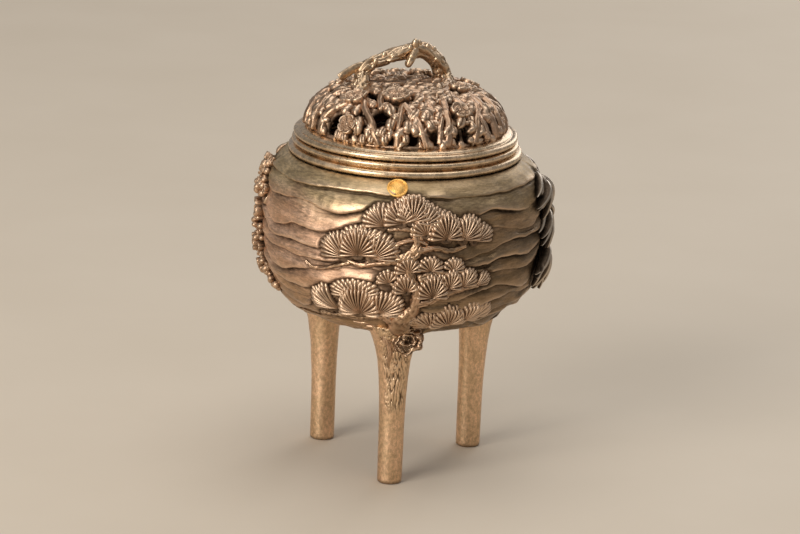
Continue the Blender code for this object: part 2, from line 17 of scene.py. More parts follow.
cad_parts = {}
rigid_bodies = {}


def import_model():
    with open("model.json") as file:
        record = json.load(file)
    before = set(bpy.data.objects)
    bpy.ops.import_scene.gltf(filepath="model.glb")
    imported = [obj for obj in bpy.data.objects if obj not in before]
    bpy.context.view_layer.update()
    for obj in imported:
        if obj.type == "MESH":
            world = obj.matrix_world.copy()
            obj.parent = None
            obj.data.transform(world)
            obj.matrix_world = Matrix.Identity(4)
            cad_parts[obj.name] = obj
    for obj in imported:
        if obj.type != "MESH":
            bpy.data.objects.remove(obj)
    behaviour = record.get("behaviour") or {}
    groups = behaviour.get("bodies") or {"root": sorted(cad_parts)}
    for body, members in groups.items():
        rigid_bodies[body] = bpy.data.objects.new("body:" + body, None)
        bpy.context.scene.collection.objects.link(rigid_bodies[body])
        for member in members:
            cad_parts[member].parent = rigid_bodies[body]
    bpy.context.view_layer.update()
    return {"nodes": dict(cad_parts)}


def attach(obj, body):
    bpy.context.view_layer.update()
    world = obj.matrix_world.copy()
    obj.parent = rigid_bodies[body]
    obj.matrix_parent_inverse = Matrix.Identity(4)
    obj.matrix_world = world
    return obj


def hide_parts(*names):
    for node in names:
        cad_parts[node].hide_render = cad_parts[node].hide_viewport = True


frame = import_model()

# %% [markdown]
# ## Two tools for natural lines
#
# Cast wood and carved ledges never run quite straight. Blender's noise textures would bend them in a
# displacement modifier, but then the mesh has no knowledge of its own grooves. A sum of a few cosine waves
# is as smooth, costs one line, and can be used for anything that needs a slow random change. Stems need a
# smooth path through a few stops, which a Catmull-Rom curve gives.

# %% Noise and smooth paths
def wander(points, scale, seed, waves=12):
    """Smooth noise from -1 to 1: the mean of cosine waves, each crossing the points in its own direction
    with a wavelength near scale, times a factor that gives it a typical size of one half."""
    rng = np.random.default_rng(seed)
    points = np.asarray(points, float)
    directions = rng.normal(size=(waves, points.shape[-1]))
    directions *= rng.uniform(0.6, 1.7, (waves, 1)) / np.linalg.norm(directions, axis=1, keepdims=True)
    phases = rng.uniform(0, 2 * np.pi, waves)
    swing = np.cos(2 * np.pi * points @ directions.T / scale + phases).mean(-1)
    return np.clip(swing * np.sqrt(waves / 2), -1, 1)


def ease(low, high, value):
    """A smooth step: 0 below low, 1 above high, and 3 t squared less 2 t cubed between."""
    t = np.clip((value - low) / (high - low), 0, 1)
    return t * t * (3 - 2 * t)


def flow(stops, count):
    """A smooth path of count rows through the stops: on each span, the cubic whose slope at a stop is half
    the step between that stop's neighbours."""
    stops = np.asarray(stops, float)
    padded = np.vstack([2 * stops[0] - stops[1], stops, 2 * stops[-1] - stops[-2]])
    u = np.linspace(0, len(stops) - 1, count)
    i = np.minimum(u.astype(int), len(stops) - 2)
    t = (u - i)[:, None]
    a, b, c, d = padded[i], padded[i + 1], padded[i + 2], padded[i + 3]
    return 0.5 * (2 * b + (c - a) * t + (2 * a - 5 * b + 4 * c - d) * t**2 + (3 * b - a - 3 * c + d) * t**3)


print("a wander along 5 mm:", np.round(wander(np.arange(5.0)[:, None], 12, 1), 2))

# %% [markdown]
# ## Surfaces to work on
#
# The relief lies on the bowl and on the lid's dome, and both are a curve turned round the middle. A chaser
# thinks in the same way, in so far round and so far up. So a place on the metal is given by an angle, the
# distance climbed along the outline, and a lift off the surface. All sizes here are millimetres.

# %% Skins: an outline turned round the axis
BOWL_RADIUS, EQUATOR, RISE, RISE_POWER, DROP, DROP_POWER = 65.3, 114.6, 39.6, 4.53, 46.7, 2.72
DOME_RADIUS, DOME_FOOT, DOME_RISE, DOME_POWER = 45.2, 161.4, 20.6, 2.42


def squared_oval(angle, radius, rise, power):
    """A point on a quarter of a superellipse: the distance out along the angle is the power mean of cosine
    over radius and sine over rise, turned upside down."""
    c, s = np.cos(angle), np.abs(np.sin(angle))
    reach = ((c / radius) ** power + (s / rise) ** power) ** (-1 / power)
    return reach * c, reach * s


def skin_of(outline):
    """The table of a turned surface: its outline's radius and height, the length climbed along it, and its
    normal, which is the slope of the outline turned by a right angle."""
    outline = np.asarray(outline, float)
    climb = np.concatenate([[0], np.cumsum(np.hypot(*np.diff(outline, axis=0).T))])
    slope = np.gradient(outline, climb, axis=0)
    return {"climb": climb, "r": outline[:, 0], "z": outline[:, 1], "nr": slope[:, 1], "nz": -slope[:, 0]}


def on_skin(skin, theta, climb, lift=0.0):
    """The point at an angle round in degrees and a climb, moved off the surface along the normal by lift."""
    r, z, nr, nz = (np.interp(climb, skin["climb"], skin[key]) for key in ("r", "z", "nr", "nz"))
    turn = np.radians(theta)
    out = r + lift * nr
    return np.stack(np.broadcast_arrays(out * np.cos(turn), out * np.sin(turn), z + lift * nz), -1)


def normal_on(skin, theta, climb):
    return on_skin(skin, theta, climb, 1.0) - on_skin(skin, theta, climb, 0.0)


def climb_at(skin, z):
    return np.interp(z, skin["z"], skin["climb"])


angles = np.radians(np.linspace(-90, 90, 1441))
radii, heights = np.where(
    angles < 0,
    squared_oval(angles, BOWL_RADIUS, DROP, DROP_POWER),
    squared_oval(angles, BOWL_RADIUS, RISE, RISE_POWER),
)
BOWL = skin_of(np.stack([radii, EQUATOR + np.sign(angles) * heights], -1)[1:-1])
radii, heights = squared_oval(np.radians(np.linspace(0, 90, 721)), DOME_RADIUS, DOME_RISE, DOME_POWER)
DOME = skin_of(np.stack([radii, DOME_FOOT + heights], -1)[:-1])
print("climb to the bowl's rim in mm:", round(float(climb_at(BOWL, 149.3)), 1))
print("climb over the dome in mm:", round(DOME["climb"][-1], 1))

# %% [markdown]
# ## From points to a mesh
#
# Every shape below is a grid of points whose columns close round it. Its ends either meet, as in a ring, or
# close at a pole. Blender could fill the holes and recalculate the normals, but a grid's faces follow from
# its row and column numbers, and the sign of its volume tells which way they look.

# %% Shells and pieces
def outward(points, quads, tris):
    """The faces, turned round if their volume, a sixth of the sum of a . (b x c), is negative."""
    a, b, c, d = (points[quads] - points.mean(0)).transpose(1, 0, 2)
    volume = (a * np.cross(b, c)).sum() + (a * np.cross(c, d)).sum()
    a, b, c = (points[tris] - points.mean(0)).transpose(1, 0, 2)
    volume += (a * np.cross(b, c)).sum()
    return (quads[:, ::-1], tris[:, ::-1]) if volume < 0 else (quads, tris)


def shell(rows, hollow=0.0, worn_and_highlight=0.0, ring=False):
    """The faces between neighbouring rows and columns, with a pole in the middle of each end unless the
    rows form a ring."""
    n, m = rows.shape[:2]
    points = rows.reshape(-1, 3)
    marks = [np.broadcast_to(mark, (n, m)).ravel() for mark in (hollow, worn_and_highlight)]
    first = np.arange(n if ring else n - 1)[:, None] * m
    second = (first + m) % (n * m)
    j, k = np.arange(m), (np.arange(m) + 1) % m
    quads = np.stack([first + j, first + k, second + k, second + j], -1).reshape(-1, 4)
    tris = np.zeros((0, 3), int)
    if not ring:
        points = np.vstack([points, rows[0].mean(0), rows[-1].mean(0)])
        marks = [np.concatenate([mark, [mark[0], mark[-1]]]) for mark in marks]
        low, high = np.full(m, n * m), np.full(m, n * m + 1)
        last = (n - 1) * m
        tris = np.vstack([np.stack([k, j, low], -1), np.stack([last + j, last + k, high], -1)])
    return points, *outward(points, quads, tris), *marks


def read(collection, name, width, kind=np.float32):
    """One property of every item of a mesh, as an array with a row for each."""
    values = np.empty(len(collection) * width, kind)
    collection.foreach_get(name, values)
    return values.reshape(-1, width)


def mark_mesh(mesh, hollow, worn_and_highlight, sharp):
    """Two attributes for the patina, which also carry painted shade and painted highlights. The bend at a
    vertex is twice the sum of its neighbours' heights over its tangent plane, divided by the sum of their
    squared distances: above 0 in a groove, below 0 on an edge. It is averaged with its neighbours and divided
    by sharp, and the greater of it and the mark given wins."""
    count = len(mesh.vertices)
    at = read(mesh.vertices, "co", 3) * 1000
    normal = read(mesh.vertex_normals, "vector", 3)
    i, j = read(mesh.edges, "vertices", 2, np.int32).T
    step = at[j] - at[i]
    total = lambda values_i, values_j: np.bincount(i, values_i, count) + np.bincount(j, values_j, count)
    length = (step**2).sum(1)
    bend = 2 * total((step * normal[i]).sum(1), -(step * normal[j]).sum(1)) / (total(length, length) + 1e-6)
    bend = (bend + total(bend[j], bend[i]) / total(np.ones(len(i)), np.ones(len(i)))) / 2
    marks = {"hollow": np.maximum(hollow, bend / sharp), "worn_and_highlight": np.maximum(worn_and_highlight, -bend / sharp)}
    for name, value in marks.items():
        mesh.attributes.new(name, "FLOAT", "POINT").data.foreach_set("value", np.clip(value, 0, 1))


def make_piece(name, shells, material, body, slot, nodes=(), sharp=1.6):
    """One smooth mesh from closed shells in millimetres, which rides on a body and stands for CAD nodes."""
    starts = np.cumsum([0] + [len(part[0]) for part in shells])
    points = np.vstack([part[0] for part in shells]) / 1000
    quads = np.vstack([part[1] + start for part, start in zip(shells, starts)])
    tris = np.vstack([part[2] + start for part, start in zip(shells, starts)])
    mesh = bpy.data.meshes.new(name)
    mesh.vertices.add(len(points))
    mesh.vertices.foreach_set("co", points.ravel())
    mesh.loops.add(quads.size + tris.size)
    mesh.loops.foreach_set("vertex_index", np.concatenate([quads.ravel(), tris.ravel()]).astype(np.int32))
    mesh.polygons.add(len(quads) + len(tris))
    corners = np.concatenate([np.arange(len(quads)) * 4, quads.size + np.arange(len(tris)) * 3])
    mesh.polygons.foreach_set("loop_start", corners.astype(np.int32))
    mesh.update(calc_edges=True)
    mesh.polygons.foreach_set("use_smooth", np.ones(len(mesh.polygons), bool))
    mark_mesh(mesh, *(np.concatenate([part[k] for part in shells]) for k in (3, 4)), sharp)
    mesh.materials.append(material)
    piece = bpy.data.objects.new(name, mesh)
    bpy.context.scene.collection.objects.link(piece)
    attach(piece, body)
    if nodes:
        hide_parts(*nodes)
    print(f"{name}: {2 * len(quads) + len(tris)} triangles")


# %% [markdown]
# ## Old bronze
#
# The metal is a brown bronze with a waxed patina: dark where the wax and the soot lie in the grooves, pink
# and bright where hands have rubbed it, mottled in between, and pitted like any casting. An image would need
# a photograph of it. A node group mixes the same effects from noise and from the two attributes that each
# mesh carries, so that every material can use them with its own colours. The two attributes also carry
# painted shade, in the soot colour, and painted highlights, in the rubbed colour.

# %% The patina group
def node(tree, kind, **values):
    """A node with its properties, and with its inputs set by number or by name."""
    made = tree.nodes.new(kind)
    inputs = values.pop("inputs", {})
    for key, value in values.items():
        setattr(made, key, value)
    for key, value in inputs.items():
        if isinstance(value, bpy.types.NodeSocket):
            tree.links.new(value, made.inputs[key])
        else:
            made.inputs[key].default_value = value
    return made


def mix_colour(tree, share, a, b):
    return node(tree, "ShaderNodeMix", data_type="RGBA", inputs={0: share, 6: a, 7: b}).outputs[2]


def maths(tree, operation, a, b=0.0, c=0.0, clamp=False):
    inputs = {0: a, 1: b, 2: c}
    return node(tree, "ShaderNodeMath", operation=operation, use_clamp=clamp, inputs=inputs).outputs[0]


def spread(tree, value, low, high, to_low=0.0, to_high=1.0):
    """The value, mapped smoothly from low-high to another range."""
    inputs = {0: value, 1: low, 2: high, 3: to_low, 4: to_high}
    return node(tree, "ShaderNodeMapRange", interpolation_type="SMOOTHSTEP", inputs=inputs).outputs[0]


def build_patina():
    """Noise of three sizes and the marks hollow and worn, which also carry painted shade and painted
    highlights, mixed to a colour, a roughness and a height.
    """
    group = bpy.data.node_groups.new("bronze_patina", "ShaderNodeTree")
    for name, kind, value in (
        ("Base", "Color", (0.3, 0.2, 0.12, 1)),
        ("Blush", "Color", (0.5, 0.3, 0.2, 1)),
        ("RubbedAndHighlight", "Color", (0.8, 0.6, 0.4, 1)),
        ("SootAndShade", "Color", (0.05, 0.03, 0.02, 1)),
        ("Patches", "Float", 55.0),
        ("Pits", "Float", 0.5),
        ("Roughness", "Float", 0.36),
        ("Stretch", "Vector", (1, 1, 1)),
    ):
        socket = group.interface.new_socket(name, in_out="INPUT", socket_type=f"NodeSocket{kind}")
        socket.default_value = value
    for name, kind in (("Color", "Color"), ("Roughness", "Float"), ("Height", "Float")):
        group.interface.new_socket(name, in_out="OUTPUT", socket_type=f"NodeSocket{kind}")
    given = node(group, "NodeGroupInput").outputs
    place = node(group, "ShaderNodeTexCoord").outputs["Object"]
    stretched = {0: place, 1: given["Stretch"]}
    drawn = node(group, "ShaderNodeVectorMath", operation="MULTIPLY", inputs=stretched).outputs[0]
    hollow = node(group, "ShaderNodeAttribute", attribute_name="hollow").outputs["Fac"]
    worn_and_highlight = node(group, "ShaderNodeAttribute", attribute_name="worn_and_highlight").outputs["Fac"]

    def noise(vector, scale, detail, rough=0.55):
        inputs = {"Vector": vector, "Scale": scale, "Detail": detail, "Roughness": rough}
        return node(group, "ShaderNodeTexNoise", inputs=inputs).outputs[0]

    patches = noise(drawn, given["Patches"], 4.0)
    clouds = noise(drawn, 330.0, 5.0, 0.65)
    grain = noise(place, 2300.0, 3.0, 0.6)
    specks = node(group, "ShaderNodeTexVoronoi", inputs={"Vector": place, "Scale": 900.0}).outputs["Distance"]
    pit = maths(group, "MULTIPLY", spread(group, specks, 0.30, 0.08), spread(group, clouds, 0.45, 0.62))

    colour = mix_colour(group, spread(group, patches, 0.42, 0.62), given["Base"], given["Blush"])
    shade = spread(group, clouds, 0.3, 0.7, 0.72, 1.22)
    shade = maths(group, "MULTIPLY", shade, spread(group, grain, 0.3, 0.7, 0.9, 1.1))
    colour = node(group, "ShaderNodeVectorMath", operation="SCALE", inputs={0: colour, 3: shade}).outputs[0]
    # The worn mark brings in the rubbed colour: wear on raised metal, and painted highlights where the mark
    # holds them.
    colour = mix_colour(group, maths(group, "MULTIPLY", worn_and_highlight, 0.75, clamp=True), colour, given["RubbedAndHighlight"])
    # The hollow mark and the pits bring in the soot colour: soot in the grooves, and painted shade where the
    # hollow mark holds it.
    dirt_and_shade = maths(group, "MAXIMUM", hollow, maths(group, "MULTIPLY", pit, given["Pits"]))
    dirt_and_shade = maths(group, "MULTIPLY", dirt_and_shade, spread(group, clouds, 0.25, 0.75, 1.1, 0.75), clamp=True)
    colour = mix_colour(group, dirt_and_shade, colour, given["SootAndShade"])

    rough = maths(group, "ADD", given["Roughness"], spread(group, clouds, 0.3, 0.7, -0.05, 0.08))
    rough = maths(group, "MULTIPLY_ADD", dirt_and_shade, 0.28, rough)
    rough = maths(group, "MULTIPLY_ADD", worn_and_highlight, -0.07, rough, clamp=True)
    height = maths(group, "MULTIPLY_ADD", pit, -0.5, maths(group, "MULTIPLY", clouds, 0.9))
    height = maths(group, "MULTIPLY_ADD", grain, 0.16, height)
    node(group, "NodeGroupOutput", inputs={"Color": colour, "Roughness": rough, "Height": height})
    return group


patina = build_patina()
print("patina nodes:", len(patina.nodes))

# %% [markdown]
# ## The metals
#
# One alloy looks different over the burner: pinker on the bowl's lit belly and brassy on its shoulder, both
# painted light, tan and speckled on the legs, and bright on the turned rings. The bamboo's bronze is darker,
# painted shade for the burner's right side. The stud is gilt and the liner is spun copper. Each is a
# Principled metal whose colour, roughness and height come from the same group.

# %% Materials
def metal(name, base, blush, rubbed_and_highlight, soot_and_shade, bump=0.35, **settings):
    """A fully metallic Principled BSDF fed by the patina group."""
    material = bpy.data.materials.new(name)
    material.use_nodes = True
    tree = material.node_tree
    shader = tree.nodes["Principled BSDF"]
    shader.inputs["Metallic"].default_value = 1.0
    colours = {"Base": (*base, 1), "Blush": (*blush, 1), "RubbedAndHighlight": (*rubbed_and_highlight, 1), "SootAndShade": (*soot_and_shade, 1)}
    skin = node(tree, "ShaderNodeGroup", node_tree=patina, inputs=colours | settings)
    tree.links.new(skin.outputs["Color"], shader.inputs["Base Color"])
    tree.links.new(skin.outputs["Roughness"], shader.inputs["Roughness"])
    relief = {"Strength": bump, "Distance": 0.0004, "Height": skin.outputs["Height"]}
    tree.links.new(node(tree, "ShaderNodeBump", inputs=relief).outputs[0], shader.inputs["Normal"])
    return material


# The soot colour, which also paints shade.
SOOT_AND_SHADE = (0.050, 0.030, 0.018)
bowl_bronze = metal(
    "bowl_bronze", (0.29, 0.185, 0.105), (0.46, 0.27, 0.175), (0.76, 0.55, 0.39), SOOT_AND_SHADE,
    Stretch=(1, 1, 4.5), Roughness=0.41,
)  # fmt: skip
needle_bronze = metal(
    "needle_bronze", (0.45, 0.29, 0.18), (0.57, 0.37, 0.235), (0.71, 0.53, 0.38), SOOT_AND_SHADE, Roughness=0.42
)
bark_bronze = metal("bark_bronze", (0.38, 0.24, 0.14), (0.52, 0.32, 0.20), (0.84, 0.62, 0.43), SOOT_AND_SHADE)
leg_bronze = metal(
    "leg_bronze", (0.66, 0.45, 0.27), (0.76, 0.51, 0.32), (0.90, 0.70, 0.47), (0.13, 0.085, 0.05),
    Pits=0.5, Roughness=0.40, Stretch=(2.4, 2.4, 1.5),
)  # fmt: skip
ring_bronze = metal(
    "ring_bronze", (0.60, 0.45, 0.29), (0.70, 0.52, 0.35), (0.93, 0.78, 0.58), (0.06, 0.04, 0.025),
    Pits=0.3, Roughness=0.27,
)  # fmt: skip
lid_bronze = metal(
    "lid_bronze", (0.33, 0.205, 0.125), (0.48, 0.305, 0.20), (0.86, 0.65, 0.47), SOOT_AND_SHADE, bump=0.6
)
blossom_bronze = metal("blossom_bronze", (0.48, 0.31, 0.20), (0.60, 0.40, 0.27), (0.92, 0.72, 0.52), SOOT_AND_SHADE)
# The bamboo's bronze is a darker copy: painted shade for the burner's right side, away from the lamps. Its
# pale rubbed colour gives the leaves painted highlights.
bamboo_bronze = metal(
    "bamboo_bronze", (0.19, 0.135, 0.09), (0.27, 0.20, 0.14), (0.86, 0.74, 0.61), (0.03, 0.02, 0.014)
)
handle_bronze = metal("handle_bronze", (0.44, 0.30, 0.18), (0.60, 0.42, 0.27), (0.92, 0.74, 0.54), SOOT_AND_SHADE)
gilt = metal(
    "gilt", (0.90, 0.50, 0.12), (0.94, 0.56, 0.17), (0.97, 0.70, 0.30), (0.30, 0.16, 0.05),
    Pits=0.3, Roughness=0.52,
)  # fmt: skip
spun_copper = metal(
    "spun_copper", (0.17, 0.08, 0.05), (0.24, 0.12, 0.07), (0.60, 0.34, 0.22), (0.05, 0.03, 0.02),
    Patches=30.0,
)
print("materials:", [m.name for m in bpy.data.materials])

# %% [markdown]
# The bowl's colour drifts from place to place, and most of the drift is painted light: brassy green on the
# shoulder is a painted sheen, copper pink on the belly towards the left is painted light where the lamps
# fall, it is golden below, and olive brown to the right is painted shade, weaker over the shoulder. Position
# gives the zones and noise gives them ragged borders, and they replace the two colours that the group starts
# from.

# %% Zones of colour on the bowl, with painted light and shade
def zone_bowl(material, scale=34.0):
    """Links two zoned colours to the patina: each mixes four by the place in metres plus noise."""
    tree = material.node_tree
    skin = next(n for n in tree.nodes if n.type == "GROUP")
    place = node(tree, "ShaderNodeTexCoord").outputs["Object"]
    x, _, z = node(tree, "ShaderNodeSeparateXYZ", inputs={0: place}).outputs
    inputs = {"Vector": place, "Scale": scale, "Detail": 5.0}
    cloud = node(tree, "ShaderNodeTexNoise", inputs=inputs).outputs[0]
    ragged = lambda value, share: maths(tree, "MULTIPLY_ADD", cloud, share, value)
    # Painted light in the bowl's colour: a brassy sheen on the shoulder, light pink on the lit belly, and
    # dark olive as painted shade on the right, at half strength over the shoulder.
    shoulder = spread(tree, ragged(z, 0.050), 0.146, 0.168)
    right = spread(tree, ragged(x, 0.060), -0.004, 0.062)
    right = maths(tree, "MULTIPLY", right, maths(tree, "MULTIPLY_ADD", shoulder, -0.5, 1.0))
    low = spread(tree, ragged(z, 0.050), 0.136, 0.104)
    for socket, pink, olive, gold, brass in (
        ("Base", (0.60, 0.37, 0.24), (0.20, 0.135, 0.075), (0.36, 0.235, 0.13), (0.50, 0.37, 0.205)),
        ("Blush", (0.80, 0.52, 0.355), (0.31, 0.21, 0.125), (0.48, 0.31, 0.18), (0.66, 0.50, 0.30)),
    ):
        tone = mix_colour(tree, low, (*pink, 1), (*gold, 1))
        tone = mix_colour(tree, shoulder, tone, (*brass, 1))
        tree.links.new(mix_colour(tree, right, tone, (*olive, 1)), skin.inputs[socket])


zone_bowl(bowl_bronze)

# %% [markdown]
# ## Three ways to raise relief
#
# A patch lays flat millimetres on a skin, as a sheet of wax is pressed on. On it a bump is a mound with any
# outline, which gives needle fans, blossoms and buds. A limb is a rod along a path, which gives trunks,
# twigs and long leaves. A turned piece is a profile spun round an axis. All three sink a little into what
# carries them, so that they look cast in one with it.

# %% Patches and bumps
def patch(skin, theta, climb, tilt=0.0, sunk=0.0):
    """A sheet laid on a skin at an angle round and a climb: x runs round and y runs up, both turned by
    tilt, and x is divided by the radius at its own height so that it stays true to size."""
    c, s = np.cos(np.radians(tilt)), np.sin(np.radians(tilt))

    def place(x, y, lift):
        up = climb + y * c - x * s
        radius = np.maximum(np.interp(up, skin["climb"], skin["r"]), 1.0)
        return on_skin(skin, theta + np.degrees((x * c + y * s) / radius), up, lift - sunk)

    return place


def free_patch(point, out, up=(0, 0, 1)):
    """A flat sheet in the air at a point, square to out."""
    out = np.array(Vector(out).normalized())
    side = np.array(Vector(up).cross(Vector(out)).normalized())
    rise = np.cross(out, side)
    far = lambda value, axis: np.asarray(value)[..., None] * axis
    return lambda x, y, lift: np.array(point) + far(x, side) + far(y, rise) + far(lift, out)


def bump(place, turns, radius, shares, lift, foot=-0.9, hollow=0.0, worn_and_highlight=0.0):
    """A closed mound. Ring i lies at shares[i] of the outline radius(turn), at lift[i, j]; then the wall
    drops to foot, and the underside closes at a pole. A turn of 0 points up the patch."""
    x = shares[:, None] * radius * np.sin(turns)
    y = shares[:, None] * radius * np.cos(turns)
    top = place(x, y, lift)
    under = place(0.92 * x[-1:], 0.92 * y[-1:], np.full((1, len(turns)), foot))
    grow = lambda mark, end: np.vstack([np.broadcast_to(mark, lift.shape), np.full((1, len(turns)), end)])
    # The wall and underside take the full hollow mark: painted shade where the mound meets the metal.
    return shell(np.concatenate([top, under]), grow(hollow, 1.0), grow(worn_and_highlight, 0.0))


# %% [markdown]
# A limb needs to know at every step which way is out of the metal, so that it can be wider than it is
# high, and its ends have to round off. Blender's bevelled curves twist where they bend. Here the side is the
# cross product of the path's direction and the metal's normal, which keeps it lying flat.

# %% Limbs
def limb(centres, normals, half, high, around=18, ridge=None, cap=(1, 1)):
    """A rod along a path: side times half times the cosine, plus normal times high times the sine, for each
    angle round it. ridge(length, angle) adds bark. The ends round off as a quarter circle does."""
    length = np.concatenate([[0], np.cumsum(np.linalg.norm(np.diff(centres, axis=0), axis=1))])
    tangent = np.gradient(centres, axis=0)
    side = np.cross(tangent, normals)
    side /= np.linalg.norm(side, axis=1, keepdims=True)
    out = np.cross(side, tangent)
    out /= np.linalg.norm(out, axis=1, keepdims=True)
    from_end = np.minimum(length / (half[0] * cap[0]), (length[-1] - length) / (half[-1] * cap[1]))
    close = np.sqrt(1 - (1 - np.clip(from_end, 0.02, 1)) ** 2)
    turn = np.linspace(0, 2 * np.pi, around, endpoint=False)
    grow = close[:, None] * (1 + (ridge(length[:, None], turn[None]) if ridge else 0))
    across = (grow * half[:, None] * np.cos(turn))[..., None] * side[:, None]
    above = (grow * high[:, None] * np.sin(turn))[..., None] * out[:, None]
    return centres[:, None] + across + above


def stations(count, ends=0.55):
    """Shares from 0 to 1 that lie closer together near both ends."""
    u = np.linspace(0, 1, count)
    return u * (1 - ends) + ends * (0.5 - 0.5 * np.cos(np.pi * u))


def along(path, shares):
    """Rows of a path read at shares of its whole."""
    u = np.linspace(0, 1, len(path))
    return np.stack([np.interp(shares, u, column) for column in path.T], -1)


def bark(seed, depth):
    """Ridges for a limb: cracks where a stretched wander passes through 0, plus lumps of a slower one."""

    def ridge(length, turn):
        at = np.stack(np.broadcast_arrays(3.0 * np.cos(turn), 3.0 * np.sin(turn), 0.32 * length), -1)
        crack = np.exp(-((wander(at, 2.6, seed) / 0.16) ** 2))
        return depth * (0.8 * wander(at, 6.0, seed + 1) - crack)

    return ridge


def twig(skin, stops, seed, count, around, depth):
    """A limb on a skin through stops of degrees round, climb, half width and height over the skin."""
    theta, climb, half, high = along(flow(stops, 200), stations(count)).T
    centres = on_skin(skin, theta, climb, 0.15 * high)
    return shell(limb(centres, normal_on(skin, theta, climb), half, high, around, bark(seed, depth)))


def air_limb(stops, seed, count, depth, around, flat=1.0, cap=(1, 1)):
    """A limb in the air through stops of x, y, z and half thickness, with bark; flat is its height as a
    share of its width."""
    path = along(flow(stops, 300), stations(count, 0.35))
    square = np.broadcast_to(np.array([-0.4, 0.9, 0.1]), (count, 3))
    return shell(limb(path[:, :3], square, path[:, 3], path[:, 3] * flat, around, bark(seed, depth), cap))


# %% [markdown]
# A turned and polished ring has no sharp corners left. A bevel modifier would round them too, at one width.
# Cutting each corner of the profile before it is spun rounds long edges more than short ones.

# %% Turned pieces
def soften(profile, times=2, ring=False):
    """Corners cut by a quarter of each neighbouring edge, again and again, which rounds a profile."""
    profile = np.asarray(profile, float)
    for _ in range(times):
        after = np.roll(profile, -1, 0) if ring else profile[1:]
        before = profile if ring else profile[:-1]
        cut = np.stack([0.75 * before + 0.25 * after, 0.25 * before + 0.75 * after], 1).reshape(-1, 2)
        profile = cut if ring else np.vstack([profile[:1], cut, profile[-1:]])
    return profile


def turned(profile, columns, ring=False, wobble=0.0):
    """A profile of radius and height spun round the axis, with a slow change of radius where it is worn."""
    turn = np.linspace(0, 2 * np.pi, columns, endpoint=False)
    r, z = (np.asarray(profile, float)[:, k, None] for k in (0, 1))
    circle = np.stack(np.broadcast_arrays(50 * np.cos(turn), 50 * np.sin(turn), 3 * z), -1)
    r = r + wobble * wander(circle, 14, 1)
    return shell(np.stack([r * np.cos(turn), r * np.sin(turn), z + 0 * r], -1), ring=ring)


# %% [markdown]
# ## The camera
#
# A camera was fitted to the ellipses of the rings, the bowl's outline and the three feet. It looks down by
# 15.6 degrees from 1.7 metres away through a long lens, and is rolled a little.

# %% Camera
PITCH, YAW, ROLL = 0.2714, -0.0001, 0.0401
camera_data = bpy.data.cameras.new("camera")
camera_data.lens, camera_data.sensor_width = 171.0, 36.0
camera = bpy.data.objects.new("camera", camera_data)
turn_to_view = Matrix.Rotation(-YAW, 4, "Z") @ Matrix.Rotation(np.pi / 2 - PITCH, 4, "X")
turn_to_view = turn_to_view @ Matrix.Rotation(ROLL, 4, "Z")
camera.matrix_world = Matrix.Translation((0, -1.7357, 0.5762)) @ turn_to_view
bpy.context.scene.collection.objects.link(camera)
bpy.context.scene.camera = camera
print("camera looks along", [round(v, 3) for v in -turn_to_view.col[2].xyz])

# %% [markdown]
# ## Pine needles
#
# A tuft of Japanese pine is carved as a half round fan, like a scallop's shell: needles run out from the
# twig, thicken, and curl over at the rim. Hair or instanced needles would be thousands of parts. A founder
# makes the fan as one mound with grooves, and so does this function.

